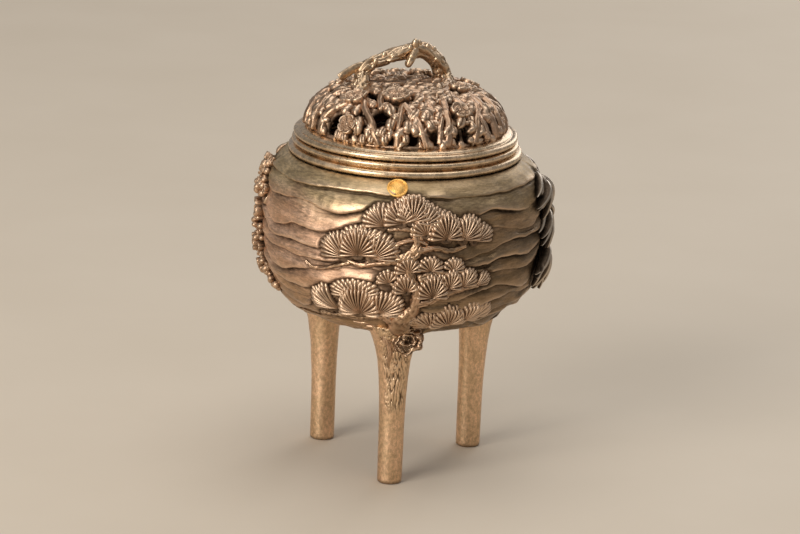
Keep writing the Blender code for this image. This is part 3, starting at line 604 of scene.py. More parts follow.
# %% A fan of needles
def needle_fan(place, half, high, lift, seed, span):
    """Half an oval with its foot in the middle of its base. Needles fill span degrees to either side, nine
    columns to each. Across a needle the height falls as the distance from its ridge to the power 2.4, and
    the valleys deepen outwards. Along it the height rises as a sine, then falls as a quarter circle."""
    rng = np.random.default_rng(seed)
    needles = max(6, round(0.66 * (half + high) * span / 96))
    order = np.arange(9 * needles) / 9
    edge = np.radians(span)
    behind = np.linspace(edge, 2 * np.pi - edge, 10, endpoint=False)
    even = np.concatenate([edge * (2 * order / needles - 1), behind])
    order = np.concatenate([order, np.full(10, 0.75)])
    above = np.arange(len(order)) < 9 * needles
    turn = np.arctan2(half * np.sin(even), high * np.cos(even))
    reach = np.where(np.cos(turn) > 0, high, 0.17 * high)
    radius = 1 / np.sqrt((np.sin(turn) / half) ** 2 + (np.cos(turn) / reach) ** 2)
    radius = np.where(above, radius, np.minimum(radius, 0.22 * high))
    share = np.array([0.05, 0.15, 0.26, 0.37, 0.48, 0.58, 0.67, 0.75, 0.82, 0.88, 0.93, 0.97, 1.0])
    s = share[:, None]
    arc = 1 - np.abs(2 * (order % 1) - 1) ** 2.4
    number = order.astype(int)
    stretch, proud = rng.uniform(-0.09, 0.05, 60)[number], rng.uniform(-0.12, 0.12, 60)[number]
    near = ease(0.05, 0.55, s)
    outline = radius * (1 + near * (0.6 * stretch - 0.07 * (1 - arc)) * above)
    dome = 0.38 + 0.62 * np.sin(np.pi / 2 * np.clip(s / 0.62, 0, 1))
    tip = np.sqrt(1 - np.clip((s - 0.79) / 0.216, 0, 1) ** 2)
    valley = (0.12 + 0.40 * near) * (1 - arc)
    front = np.where(above, 1 - 0.16 * (even / edge) ** 2, 0.55)
    top = lift * front * dome * tip * (1 + proud * near) * (1 - valley) + 0.1
    splay = turn - 0.24 * (1 - s) ** 2 * np.sin(turn)
    x, y = s * outline * np.sin(splay), s * outline * np.cos(splay)
    # Painted shade: the valleys between the needles, deeper outwards, the foot near the twig, the rim's edge,
    # the part of the fan below its foot, and its underside.
    hollow = np.clip((1 - arc) * (0.35 + 0.55 * near) + 0.25 * ease(0.25, 0.05, s), 0, 1)
    hollow = np.maximum(hollow, ease(0.95, 1.0, s) * 0.85)
    hollow = np.where(above, hollow, 0.8)
    # A painted highlight along each needle's ridge, fading at its base and its tip.
    painted_highlight = arc * ease(0.1, 0.5, s) * ease(1.03, 0.9, s) * above
    under = place(0.95 * x[-1:], 0.95 * y[-1:], np.full((1, len(turn)), -1.0))
    end = np.ones((1, len(turn)))
    rows = np.concatenate([place(x, y, top), under])
    return shell(rows, np.vstack([hollow, end]), np.vstack([painted_highlight, 0 * end]))


# %% [markdown]
# ## The pine's seven clumps
#
# Each clump is four or five fans that overlap like tiles, one of them in front, and behind each fan a
# second row of tips shows as a wider, lower fan. Their places were read off the photograph through the
# fitted camera, as degrees round the bowl and height above the table.

# %% Pine clumps
# A fan is degrees round and height of its foot, half width, height of the fan, tilt, and lift.
CLUMPS = {
    "crown": [
        (-86, 137, 10.0, 8.0, 4, 1.7), (-97, 130, 9.0, 10.5, -42, 2.4), (-90, 131.5, 8.6, 11.2, -14, 2.9),
        (-82, 131, 8.6, 10.6, 34, 2.6), (-86, 132.5, 8.4, 11.4, 8, 3.3),
    ],
    "right_high": [
        (-75, 130, 8.5, 8.0, -6, 1.8), (-60, 122.5, 7.4, 10.5, 62, 2.3), (-80, 126.5, 6.4, 8.6, -32, 2.6),
        (-65, 123.5, 8.6, 12.0, 34, 2.9), (-72, 124.5, 8.2, 12.0, 2, 3.4),
    ],
    "left_high": [
        (-105.5, 120, 12.0, 9.6, 0, 1.8), (-112, 113.5, 11.0, 14.0, -52, 2.6),
        (-101.5, 114.5, 10.5, 13.6, 48, 2.9), (-107, 115.5, 9.6, 12.8, -6, 3.4),
    ],
    "middle": [
        (-94.5, 103.5, 5.4, 6.2, -22, 1.8), (-78, 109.5, 6.4, 7.2, 6, 2.2), (-68.5, 109, 5.8, 6.8, 16, 2.0),
        (-86.5, 109, 6.4, 7.4, -8, 2.6),
    ],
    "right_low": [
        (-58, 101, 5.6, 8.8, 56, 2.1), (-64, 101.5, 6.6, 9.4, 32, 2.5), (-70, 101, 6.4, 9.2, 12, 2.8),
        (-87, 99.5, 6.2, 8.6, -12, 2.8), (-76.5, 97, 7.8, 11.4, 0, 3.3),
    ],
    "left_low": [
        (-108, 95, 13.0, 9.0, 0, 1.9), (-117, 87.5, 11.0, 15.0, -56, 2.7), (-93.5, 83, 8.0, 11.5, 66, 3.0),
        (-99.5, 87.5, 10.5, 14.0, 46, 3.0), (-107, 87, 10.4, 15.4, -4, 3.6),
    ],
    "right_foot": [
        (-74, 81, 8.0, 10.5, -44, 2.3), (-54, 84, 7.6, 10.5, 52, 2.3), (-58.5, 83, 8.2, 11.8, 24, 2.8),
        (-66, 81.5, 8.8, 12.6, -10, 3.2),
    ],
}
for name, fans in CLUMPS.items():
    shells = []
    for i, (theta, z, half, high, tilt, lift) in enumerate(fans):
        place, seed = patch(BOWL, theta, climb_at(BOWL, z), tilt), 17 * i + round(-theta)
        span = np.clip(104 - abs(tilt), 46, 96)
        shells.append(needle_fan(place, half, high, lift, seed, span))
        shells.append(needle_fan(place, 1.11 * half, 1.12 * high, 0.66 * lift, seed + 60, span))
    make_piece(f"pine_needles_{name}", shells, needle_bronze, "burner", "bronze", [f"pine_pad_{name}"], 2.2)

# %% [markdown]
# ## Trunks and twigs
#
# The pine's trunk swells out of the front leg and climbs in bends, with cracked bark and gnarled twigs that
# carry the clumps. The plum and the bamboo do the same on the other two legs. Curve objects with a bevel
# would give smooth pipes; a limb worked out here has bark in its own mesh, so the patina finds its cracks.

# %% Pine, plum and bamboo stems
# A stop is degrees round, height, half width, and height over the bowl.
def stems(lists, seed, depth=0.2, around=18):
    """Twigs on the bowl from lists of stops, with the height turned into a climb."""
    shells = []
    for k, stops in enumerate(lists):
        stops = np.array(stops, float)
        stops[:, 1] = climb_at(BOWL, stops[:, 1])
        length = np.hypot(np.radians(np.ptp(stops[:, 0])) * 60, np.ptp(stops[:, 1]))
        shells.append(twig(BOWL, stops, seed + 7 * k, int(24 + 1.7 * length), around, depth))
    return shells


PINE_STEMS = [
    [(-91, 74, 6.4, 5.4), (-89, 83, 4.6, 4.0), (-84, 91, 3.0, 2.8), (-83, 100, 2.2, 2.0),
     (-86, 108, 1.9, 1.8),
     (-88, 115, 2.0, 2.0), (-84, 122, 1.8, 1.9), (-86, 131, 1.5, 1.6)],
    [(-93, 120, 1.3, 1.6), (-90, 115, 1.5, 1.9), (-84, 117, 1.4, 1.8), (-82, 122, 1.2, 1.5)],
    [(-96, 116, 1.1, 1.4), (-92, 122, 1.3, 1.7), (-85, 124.5, 1.3, 1.6), (-79, 122.5, 1.0, 1.3)],
    [(-132, 108.5, 0.7, 0.9), (-128, 106, 0.9, 1.0), (-122, 107, 1.0, 1.1), (-115, 110, 1.2, 1.3),
     (-110, 112, 1.4, 1.4)],
    [(-112, 113, 1.1, 1.3), (-106, 111, 1.6, 1.6), (-100, 112.5, 1.5, 1.6), (-94, 114, 1.9, 1.8),
     (-87, 117, 2.2, 2.0)],
    [(-88, 118, 2.0, 1.9), (-82, 119.5, 1.5, 1.6), (-76, 120.5, 1.5, 1.6), (-70, 119, 1.3, 1.4),
     (-63, 121, 1.0, 1.1)],
    [(-96, 128.5, 0.9, 1.1), (-90, 129.5, 1.2, 1.3), (-84, 128, 1.4, 1.4), (-82, 124, 1.6, 1.5)],
    [(-84, 101, 2.0, 1.8), (-88, 102, 1.5, 1.5), (-94, 103, 1.0, 1.2)],
    [(-84, 93, 2.6, 2.4), (-78, 94.5, 1.9, 2.0), (-73, 97, 1.5, 1.7), (-64, 100, 1.3, 1.4),
     (-56, 101, 0.9, 1.1)],
    [(-83, 106, 2.0, 1.8), (-76, 108, 1.4, 1.4), (-66, 109, 1.0, 1.1)],
    [(-89, 82, 3.0, 2.6), (-97, 86, 2.2, 2.0), (-107, 85, 2.0, 1.9), (-116, 84, 1.6, 1.5),
     (-130, 83, 1.1, 1.1)],
    [(-86, 84, 2.6, 2.4), (-77, 81, 2.0, 1.8), (-66, 81, 1.6, 1.6), (-54, 83, 1.0, 1.2)],
]  # fmt: skip
PLUM_STEMS = [
    [(149, 74, 6.6, 5.2), (153, 90, 4.2, 3.4), (160, 104, 3.0, 2.3), (169, 118, 2.2, 1.9),
     (172, 132, 1.6, 1.6),
     (176, 142, 1.0, 1.1)],
    [(151, 88, 2.6, 2.2), (138, 102, 2.2, 1.9), (124, 112, 1.8, 1.7), (100, 121, 1.2, 1.2)],
    [(159, 103, 2.1, 1.8), (149, 122, 1.7, 1.6), (143, 132, 1.4, 1.3), (137, 141, 0.9, 1.1)],
    [(160, 104, 1.8, 1.6), (169, 103, 1.5, 1.4), (180, 101, 1.1, 1.2), (190, 97, 0.8, 0.9),
     (197, 95, 0.6, 0.7)],
    [(168, 117, 1.6, 1.5), (178, 120, 1.3, 1.3), (187, 121, 1.0, 1.2), (194, 119, 0.7, 0.9)],
    [(124, 112, 1.4, 1.4), (118, 102, 1.2, 1.2), (110, 94, 0.8, 1.0)],
]  # fmt: skip
make_piece("pine_wood", stems(PINE_STEMS, 40, 0.34, 24), bark_bronze, "burner", "bronze", ["pine_trunk"])
make_piece("plum_wood", stems(PLUM_STEMS, 90, 0.2), bark_bronze, "burner", "bronze", ["plum_trunk"])


def culm(stops, seed, spacing=11.0):
    """A bamboo stem: a smooth limb with a raised ring at each node, spacing apart."""
    stops = np.array(stops, float)
    stops[:, 1] = climb_at(BOWL, stops[:, 1])
    theta, climb, half, high = along(flow(stops, 200), stations(110)).T

    def node_rings(length, turn):
        gap = (length + 3.0 * seed) % spacing
        ridge, groove = (np.exp(-(((gap - at) / 0.5) ** 2)) for at in (1.0, 2.0))
        return 0.16 * ridge - 0.1 * groove + 0 * turn

    centres = on_skin(BOWL, theta, climb, 0.15 * high)
    return shell(limb(centres, normal_on(BOWL, theta, climb), half, high, 20, node_rings))


BAMBOO_STEMS = [
    [(28, 74, 4.6, 3.8), (30, 92, 3.0, 2.4), (32, 108, 2.5, 2.0), (33, 124, 2.1, 1.9), (34, 140, 1.5, 1.4)],
    [(32, 112, 1.5, 1.5), (18, 128, 1.2, 1.3), (6, 138, 0.9, 1.1), (0, 141, 0.7, 0.9)],
    [(32, 113, 1.5, 1.5), (47, 128, 1.2, 1.3), (58, 135, 0.9, 1.1)],
    [(30, 92, 1.6, 1.6), (15, 100, 1.2, 1.3), (1, 105, 0.9, 1.1)],
]
shells = [culm(stops, k) for k, stops in enumerate(BAMBOO_STEMS)]
make_piece("bamboo_wood", shells, bark_bronze, "burner", "bronze", ["bamboo_culm"])

# %% [markdown]
# ## Bamboo leaves
#
# The leaves hang in bunches down the right side, long and pointed, each with a sunk midrib and fine veins
# along it. Their middles arch off the bowl and their tips hang free of it, as the photo's right edge shows.
# A subdivided plane would need its edges thickened. A limb with a flat section is closed already.

# %% Leaves
def blade(skin, stops, half, lift, seed, around=22, count=34, proud=0.0, tip=0.0):
    """A limb whose half width follows the sine of the share run to the power 0.8, so that it is broad early
    and pointed at its end. Across it the top falls off as the square, less a groove along the middle and a
    cosine for the veins; the underside is sunk into the metal. Its middle arches off the metal by
    proud, and its end hangs off it by tip, with the square of the share."""
    theta, climb = along(flow(stops, 100), stations(count, 0.4)).T
    share = stations(count, 0.4)
    width = half * np.sin(np.pi * np.clip(share, 0.012, 0.988) ** 0.8) ** 0.85 + 0.05
    centres, normals = on_skin(skin, theta, climb), normal_on(skin, theta, climb)
    side = np.cross(np.gradient(centres, axis=0), normals)
    side /= np.linalg.norm(side, axis=1, keepdims=True)
    turn = np.linspace(0, 2 * np.pi, around, endpoint=False)
    across, up = np.cos(turn), np.sin(turn)
    rib = 0.30 * np.exp(-((across / 0.12) ** 2)) + 0.05 * np.cos(9 * np.pi * across)
    crown = 0.35 + 0.65 * (1 - across**2) - rib
    full = (np.sin(np.pi * np.clip(share, 0.03, 0.97)) ** 0.4)[:, None]
    arch = proud * (np.sin(np.pi * share**0.85) ** 0.7)[:, None]
    hang = tip * (share**2)[:, None]
    top = arch + hang + lift * full * (0.35 + 0.65 * np.sqrt(np.abs(up))) * crown
    height = np.where(up >= 0, top, 0.4 * arch + hang - 0.7)
    wave = 0.3 * wander(np.stack([share * 4, share * 0 + seed], -1), 3.0, seed)[:, None]
    rows = centres[:, None] + (width[:, None] * across)[..., None] * side[:, None]
    rows = rows + (height + wave * full * (up >= 0))[..., None] * normals[:, None]
    # Darker along the sunk midrib and its veins; painted shade at the leaf's edges, where leaves lie on each
    # other, and underneath. Two bands either side of the midrib get a painted highlight.
    hollow = np.where(up >= 0, np.clip(3 * rib, 0, 1) + 0.9 * (np.abs(across) > 0.93), 1) + 0 * full
    worn_and_highlight = 0.85 * (np.abs(np.abs(across) - 0.55) < 0.25) * (up >= 0) + 0 * full
    return shell(rows, np.clip(0.8 * hollow, 0, 1), worn_and_highlight)


# A bunch is degrees round and height of its node, the first and the last leaf's slant from straight down,
# the leaves' length, their number, and how far their tips hang off the bowl.
BAMBOO_BUNCHES = [
    (-6, 143.5, -64, 34, 22, 12, 2.0), (0, 129, -64, 38, 22, 12, 3.5), (-5, 112, -60, 36, 23, 12, 6.5),
    (28, 144, -42, 30, 25, 9, 2.5), (42, 140, -30, 36, 26, 9, 3.0), (60, 136, -34, 38, 26, 9, 3.0),
    (15, 103, -40, 42, 21, 9, 4.0),
]  # fmt: skip
rng = np.random.default_rng(14)
for number, (theta, z, first, last, length, count, tip) in enumerate(BAMBOO_BUNCHES, 1):
    climb, shells = climb_at(BOWL, z), []
    for k, slant in enumerate(np.linspace(first, last, count)):
        slant, run = np.radians(slant + rng.uniform(-5, 5)), length * rng.uniform(0.72, 1.05)
        start = rng.uniform(-2.0, 2.0), rng.uniform(-3.0, 1.0)
        bend = rng.uniform(-1.2, 1.2)
        stops = []
        for share in (0.0, 0.5, 1.0):
            across = start[0] + share * run * np.sin(slant) + bend * (share == 0.5)
            stops.append((theta + np.degrees(across / 63), climb + start[1] - share * run * np.cos(slant)))
        proud = (1.4, 4.2, 2.8)[k % 3] + rng.uniform(0, 0.9)
        half, hang = rng.uniform(1.45, 1.95), tip * rng.uniform(0.4, 1.0)
        shells.append(blade(BOWL, stops, half, 1.5, seed=number * 12 + k, proud=proud, tip=hang))
    replaced = [f"bamboo_leaf_{number}"]
    make_piece(f"bamboo_spray_{number}", shells, bamboo_bronze, "burner", "bronze", replaced, 2.2)

# %% [markdown]
# ## Plum blossom
#
# A plum flower has five round petals, cupped with a rolled edge, and a ring of stamens about a small
# button. Buds and leaves fill the gaps. One polar function gives the whole flower.

# %% Blossoms and buds
def blossom(place, radius, lift, turn_by, columns, foot):
    """Five petals: the outline is radius times 0.80 plus 0.20 times the root of |cos(2.5 turn)|. The height
    is a cup that rises with the square of the share, plus a rolled rim near the edge, less a fold between
    petals and a dish in each, plus fifteen stamens and a button in the middle."""
    turn = np.linspace(0, 2 * np.pi, columns, endpoint=False)
    petal = np.abs(np.cos(2.5 * turn))
    outline = radius * (0.80 + 0.20 * petal**0.5)
    share = [0.05, 0.11, 0.16, 0.21, 0.28, 0.36, 0.44, 0.50, 0.56, 0.64, 0.72, 0.80, 0.87, 0.93, 0.97, 1.0]
    share = np.array(share)
    s = share[:, None]
    stamens = 0.5 + 0.5 * np.cos(15 * turn)
    button = 0.34 * np.exp(-((s / 0.13) ** 4))
    thread = 0.13 * stamens * ease(0.18, 0.26, s) * ease(0.56, 0.48, s)
    thread = thread + 0.2 * stamens * np.exp(-(((s - 0.5) / 0.05) ** 2))
    rim = 0.28 * np.exp(-(((s - 0.9) / 0.075) ** 2))
    fold = 0.34 * np.exp(-((petal / 0.28) ** 2)) * ease(0.3, 0.8, s)
    dish = 0.16 * petal * np.exp(-(((s - 0.7) / 0.12) ** 2))
    edge = np.sqrt(1 - np.clip((s - 0.93) / 0.08, 0, 1) ** 2)
    height = lift * (0.45 + 0.30 * s**2 + button + thread + rim - fold - dish) * (0.35 + 0.65 * edge)
    between = 0.5 * ease(0.2, 0.26, s) * ease(0.6, 0.5, s) * (1 - stamens)
    hollow = np.clip(2.2 * fold + 3.0 * dish + between, 0, 1)
    worn_and_highlight = np.clip(2.4 * rim + 0 * height, 0, 0.8)
    return bump(place, turn + turn_by, outline, share, height, foot, hollow, worn_and_highlight)


def bud(place, radius, lift, foot=-0.8):
    """A round bud with a cup of sepals: a half circle for its height, and five small folds at its foot."""
    turn = np.linspace(0, 2 * np.pi, 15, endpoint=False)
    share = np.array([0.15, 0.4, 0.65, 0.85, 0.97, 1.0])
    height = lift * np.sqrt(1 - share[:, None] ** 2 * 0.98) + 0 * turn
    outline = radius * (1 + 0.06 * np.cos(5 * turn))
    return bump(place, turn, outline, share, height, foot, 0.0, 0.7 * (share[:, None] < 0.7))


def petal_leaf(skin, theta, climb, length, half, tilt, lift, seed, proud=0.0):
    """A short leaf on a skin from a point, along its tilt."""
    radius = np.interp(climb, skin["climb"], skin["r"])
    run = np.array([0, 0.5, 1.0]) * length
    bow = 0.12 * length * np.sin(np.pi * run / length)
    across = run * np.sin(np.radians(tilt)) + bow * np.cos(np.radians(tilt))
    up = run * np.cos(np.radians(tilt)) - bow * np.sin(np.radians(tilt))
    stops = np.stack([theta + np.degrees(across / radius), climb + up], -1)
    return blade(skin, stops, half, lift, seed, 16, 20, proud)


# A flower is degrees round, height, radius, and lift.
PLUM_FLOWERS = [
    (175, 139, 5.4, 2.9), (185, 121, 5.8, 3.3), (177, 101.5, 5.4, 3.0), (149, 122, 5.6, 3.0),
    (138, 138, 5.4, 2.9), (124, 112, 5.8, 3.0), (140, 100.5, 5.6, 3.0), (102, 120.5, 5.4, 3.0),
]  # fmt: skip
# Buds are heaped round each flower, proudest in the middle; a heap is degrees round, height, width, height
# of the heap, and how far it stands proud. The first number names the flower whose piece it joins.
HEAPS = [
    (1, 184, 140, 7.0, 4.5, 2.6), (1, 187, 133, 8.0, 5.0, 4.4), (2, 186, 115, 7.0, 4.5, 4.6),
    (2, 177, 124, 6.0, 4.0, 1.5), (3, 186, 106, 7.0, 5.0, 4.8), (3, 189, 96, 7.0, 5.0, 3.8),
    (3, 194, 89, 7.5, 4.0, 2.2), (4, 147, 124, 9.0, 7.0, 2.4), (5, 136, 140, 8.5, 6.0, 2.0),
    (6, 122, 113, 9.0, 7.0, 2.4), (7, 138, 101, 9.0, 7.0, 2.2), (8, 100, 121, 8.5, 6.5, 2.2),
    (3, 172, 92, 8.0, 5.0, 1.6), (2, 166, 118, 7.0, 7.0, 1.4), (6, 112, 98, 6.0, 6.0, 1.2),
]  # fmt: skip

GOLDEN_TURN = 2.4  # radians from one bud to the next, which keeps neighbours apart
BUDS_PER_SQUARE_MM = 0.36


def heap(theta, z, wide, tall, proud, seed):
    """Buds and small blossoms at random places in an oval, each on a stalk as long as a bell of its distance
    from the middle gives. The stalk is the wall of the bump, carried down to the bowl."""
    rng = np.random.default_rng(seed)
    climb, shells = climb_at(BOWL, z), []
    amount = wide * tall * BUDS_PER_SQUARE_MM
    for k in range(round(amount)):
        away, turn = np.sqrt((k + 0.5) / amount), GOLDEN_TURN * k + rng.uniform(-0.5, 0.5)
        x, y = away * wide * np.sin(turn), away * tall * np.cos(turn)
        stalk = proud * (1 - 0.75 * away**2) * rng.uniform(0.75, 1.1)
        place = patch(BOWL, theta + np.degrees(x / 63), climb + y, 0.0, -stalk)
        if rng.random() < 0.3:
            radius = rng.uniform(2.2, 3.0)
            shells.append(blossom(place, radius, 0.55 * radius, rng.uniform(0, 1.2), 40, -1.0 - stalk))
        else:
            radius = rng.uniform(1.3, 2.0)
            shells.append(bud(place, radius, 1.15 * radius, foot=-0.8 - stalk))
    return shells


rng = np.random.default_rng(8)
for number, (theta, z, radius, lift) in enumerate(PLUM_FLOWERS, 1):
    climb = climb_at(BOWL, z)
    shells = [blossom(patch(BOWL, theta, climb, 0.0, -1.8), radius, lift, rng.uniform(0, 1.2), 110, -2.8)]
    for k, heaped in enumerate(HEAPS):
        if heaped[0] == number:
            shells += heap(*heaped[1:], seed=50 + k)
    for turn in rng.uniform(0, 50) + np.array([30, 150, 265]):
        x, y = 7.0 * np.sin(np.radians(turn)), 7.0 * np.cos(np.radians(turn))
        spot, length = (theta + np.degrees(x / 62), climb + y), rng.uniform(6, 8)
        shells.append(petal_leaf(BOWL, *spot, length, 1.7, turn, 1.9, number))
    replaced = [f"plum_flower_{number}"]
    make_piece(f"plum_spray_{number}", shells, needle_bronze, "burner", "bronze", replaced, 2.2)

# %% [markdown]
# ## The legs
#
# Each leg is round, swells into a trumpet under the bowl, and has a worn rounded foot. The front one is the
# pine's trunk: its bark is cracked on the front from the middle up, and fades into smooth metal at the back.
# The plum's and the bamboo's legs have the same bark, half as deep and barely there. A lathe profile alone
# would be smooth, so the cracks are taken off its radius.

# %% Legs
LEG_CIRCLE, LEG_LEAN, LEG_TOP = 40.9, 1.3, 78.5
LEG_ANGLES = {"pine": -91.7, "bamboo": 28.3, "plum": 148.3}
LEG_PROFILE = [(0.4, 0), (4.6, 0), (5.25, 0.12), (5.7, 0.6), (5.8, 2), (5.95, 30), (6.3, 42), (6.9, 52),
               (7.7, 60),
               (9, 66), (10.2, 70), (11.8, 74), (13.6, 78.5)]  # fmt: skip


def leg(plant, columns=150):
    """The profile spun round an axis that leans out with the cube of the height. Fissures lower the radius
    where a wander, stretched along the leg, passes through 0, inside a mask of height and side."""
    low = [(r, z) for r, z in LEG_PROFILE if z < 2.5]
    z = np.concatenate([[q[1] for q in low], np.linspace(3.5, LEG_TOP, 150)])
    r = np.interp(z, *np.array(LEG_PROFILE)[3:, ::-1].T)
    r[: len(low)] = [q[0] for q in low]
    turn = np.linspace(0, 2 * np.pi, columns, endpoint=False)
    z, r = z[:, None], r[:, None]
    snake = 0.10 * np.sin(z / 3.1)
    at = np.stack(np.broadcast_arrays(r * np.cos(turn + snake), r * np.sin(turn + snake), 0.13 * z), -1)
    seed = round(LEG_ANGLES[plant]) % 97
    facing = np.cos(turn - np.radians(12 if plant == "pine" else 0))
    depth = {"pine": 1.0, "plum": 0.5, "bamboo": 0.15}[plant]
    facing = facing + 0.16 * ease(50, 66, z) + 0.06 * wander(at, 3, seed + 5)
    mask = ease(33, 42, z) * ease(0.64, 0.90, facing) * depth
    crack = np.exp(-((wander(at, 1.75, seed, 16) / 0.19) ** 2))
    lumps = 0.35 * wander(at, 5.0, seed + 1)
    radius = r + mask * (0.3 + lumps - 0.9 * crack) + 0.05 * wander(at, 9.0, seed + 2)
    angle = np.radians(LEG_ANGLES[plant])
    out = LEG_CIRCLE + LEG_LEAN * np.clip(z / 66, 0, 1) ** 3
    x, y = out + radius * np.cos(turn), radius * np.sin(turn)
    rows = [x * np.cos(angle) - y * np.sin(angle), x * np.sin(angle) + y * np.cos(angle), z + 0 * x]
    # Painted shade: the foot darkens over its lowest 2.2 mm, where it meets the floor.
    foot = ease(2.2, 0.3, z) * 0.75
    return shell(np.stack(rows, -1), np.maximum(mask * crack, foot + 0 * x), 0.35 * mask * (1 - crack))


for plant in ("pine", "bamboo", "plum"):
    make_piece(f"{plant}_foot", [leg(plant)], leg_bronze, "burner", "bronze", [f"leg_{plant}"])

# %% [markdown]
# The front leg's head is a burl: a stout branch was cut off there, and the trunk has grown round the wound in
# folds. It is a bump whose height is full of rings, set on the leg facing forward. Roots run from it along
# the bowl's bottom, two to the left and one to the right, and a fourth runs down the leg. They are limbs
# that sink into the metal.

# %% The burl on the front leg
def burl(place, radius, lift, seed):
    """A mound with a dish in its middle: a half circle times one less a bell, plus the cosine of three rings
    to the radius, pushed about by a wander, less cracks where another wander passes through 0."""
    turn = np.linspace(0, 2 * np.pi, 130, endpoint=False)
    share = np.linspace(0.03, 1, 46)
    s = share[:, None]
    at = np.stack([s * radius * np.cos(turn), s * radius * np.sin(turn)], -1)
    fray = wander(at, 6.0, seed)
    ring = np.cos(2 * np.pi * (2.9 * s + 0.42 * fray))
    crack = np.exp(-((wander(at * [1, 0.6], 3.0, seed + 1, 20) / 0.13) ** 2)) * ease(0.1, 0.4, s)
    dome = np.sqrt(1 - 0.97 * s**2) * (1 - 0.55 * np.exp(-((s / 0.34) ** 2)))
    height = lift * dome + 0.65 * ring * ease(1.0, 0.85, s) - 0.7 * crack
    outline = radius * (1 + 0.11 * fray[-1])
    hollow = np.clip(0.55 * ease(0.1, -0.9, ring) + 0.7 * crack + 0.8 * np.exp(-((s / 0.24) ** 2)), 0, 1)
    return bump(place, turn, outline, share, height, -5.0, hollow, 0.8 * ease(0.3, 0.9, ring) * (1 - crack))


# A root stop is x, y, z and half thickness.
ROOTS = [
    [(-7.4, -48.8, 78.4, 2.3), (-12.0, -47.6, 77.8, 2.2), (-17.0, -45.8, 77.4, 1.8),
     (-22.0, -43.8, 77.0, 1.3)],
    [(-6.0, -50.4, 80.2, 2.2), (-11.0, -50.8, 81.0, 1.9), (-16.0, -49.6, 80.4, 1.6),
     (-21.0, -47.6, 80.0, 1.0)],
    [(-5.0, -50.8, 80.0, 2.2), (-5.4, -52.0, 74.0, 1.7), (-3.4, -51.8, 67.5, 1.3), (-4.2, -49.4, 58.5, 0.8)],
    [(12.0, -49.4, 80.6, 1.8), (16.0, -48.4, 80.4, 1.6), (20.0, -46.8, 79.4, 1.2)],
]  # fmt: skip
shells = [burl(free_patch((4.6, -50.0, 72.8), (0.2, -1, -0.05)), 7.8, 4.8, 3)]
shells += [air_limb(stops, 140 + k, 60, 0.3, 24) for k, stops in enumerate(ROOTS)]
for x, y, z, radius in [(1.0, -51.6, 80.2, 1.9), (-8.6, -50.6, 79.0, 1.4), (9.4, -51.0, 80.6, 1.8)]:
    shells.append(bud(free_patch((x, y, z), (0.1, -1, 0.1)), radius, 1.1 * radius))
make_piece("pine_burl", shells, bark_bronze, "burner", "bronze")

# %% [markdown]
# ## The bowl and its ledges
#
# Thirteen ledges cross the bowl like strata or drifting mist. Each overhangs a groove at its lower edge,
# which is painted dark as a shadow, has a rounded lip with a painted highlight, and then slopes back until
# the next one. Displacing an even grid would blur the lips. Here the grid's rows follow the ledges instead,
# nine of them close together at every lip.

# %% Ledges
COLUMNS, LEDGES, LEDGE_LIFT = 440, 13, 1.75
around = np.linspace(-180, 180, COLUMNS, endpoint=False)
circle = 65 * np.stack([np.cos(np.radians(around)), np.sin(np.radians(around))], -1)

gaps = np.linspace(5.3, 8.0, LEDGES - 1)[:, None]
gaps = gaps * np.exp([0.62 * wander(circle, 75, 200 + k) for k in range(LEDGES - 1)])
lowest = 44 + 2.0 * wander(circle, 90, 190)
highest = 122.5 + 1.6 * wander(circle, 80, 191)
gaps = gaps * (highest - lowest) / gaps.sum(0)
lines = np.vstack([lowest, lowest + np.cumsum(gaps, 0)])
own_waves = [0.5 * wander(circle, 17, 230 + k) + 0.08 * wander(circle, 5.5, 330 + k) for k in range(LEDGES)]
lines = lines + own_waves
strength = np.clip([0.72 + 0.8 * wander(circle, 48, 260 + k) for k in range(LEDGES)], 0.06, 1.0)
strength = strength * np.array([0.5] + [1] * (LEDGES - 2) + [0.8])[:, None]

# Offset from the line, and lift as a share of the ledge's own: up out of the groove and over the lip.
LIP = [(-1.9, 0.05), (-1.3, -0.20), (-0.75, -0.34), (-0.42, -0.26), (-0.40, 0.30), (-0.28, 0.78), (0.1, 1.0),
       (0.7, 1.05), (1.4, 0.97)]  # fmt: skip
# Painted shadow under each overhang and in its groove, and a painted highlight on the lip.
LIP_PAINTED_SHADOW = np.array([0.62, 0.85, 1.0, 1.0, 0.9, 0.35, 0, 0, 0])
LIP_PAINTED_HIGHLIGHT = np.array([0, 0, 0, 0, 0, 0.25, 0.75, 0.6, 0.3])
slope = np.array([0.14, 0.3, 0.46, 0.62, 0.78, 0.92])
# The painted shadow reaches down the slope beneath each overhang.
SLOPE_PAINTED_SHADOW = np.array([0, 0, 0.05, 0.14, 0.32, 0.52])
climbs, lifts, dark, lip_highlight = [], [], [], []
for k in range(LEDGES):
    for (offset, share), shade, shine in zip(LIP, LIP_PAINTED_SHADOW, LIP_PAINTED_HIGHLIGHT):
        climbs.append(lines[k] + offset * (0.4 + 0.6 * strength[k]))
        lifts.append(share * strength[k])
        dark.append(shade * strength[k] ** 0.6)
        lip_highlight.append(shine * strength[k])
    if k < LEDGES - 1:
        for t, shade in zip(slope, SLOPE_PAINTED_SHADOW):
            climbs.append((lines[k] + 1.4) * (1 - t) + (lines[k + 1] - 1.9) * t)
            lifts.append(0.97 * strength[k] * (1 - t) * (1 + 0.4 * t))
            dark.append(shade * strength[k + 1])
            lip_highlight.append(0.22 * strength[k] * (1 - t) ** 3)
climbs, lifts, dark, lip_highlight = (np.array(rows) for rows in (climbs, lifts, dark, lip_highlight))
hills = np.stack(np.broadcast_arrays(circle[:, 0], circle[:, 1], 2.4 * climbs), -1)
print("ledge rows:", climbs.shape, "least gap in mm:", round(float(np.diff(lines, axis=0).min()), 2))


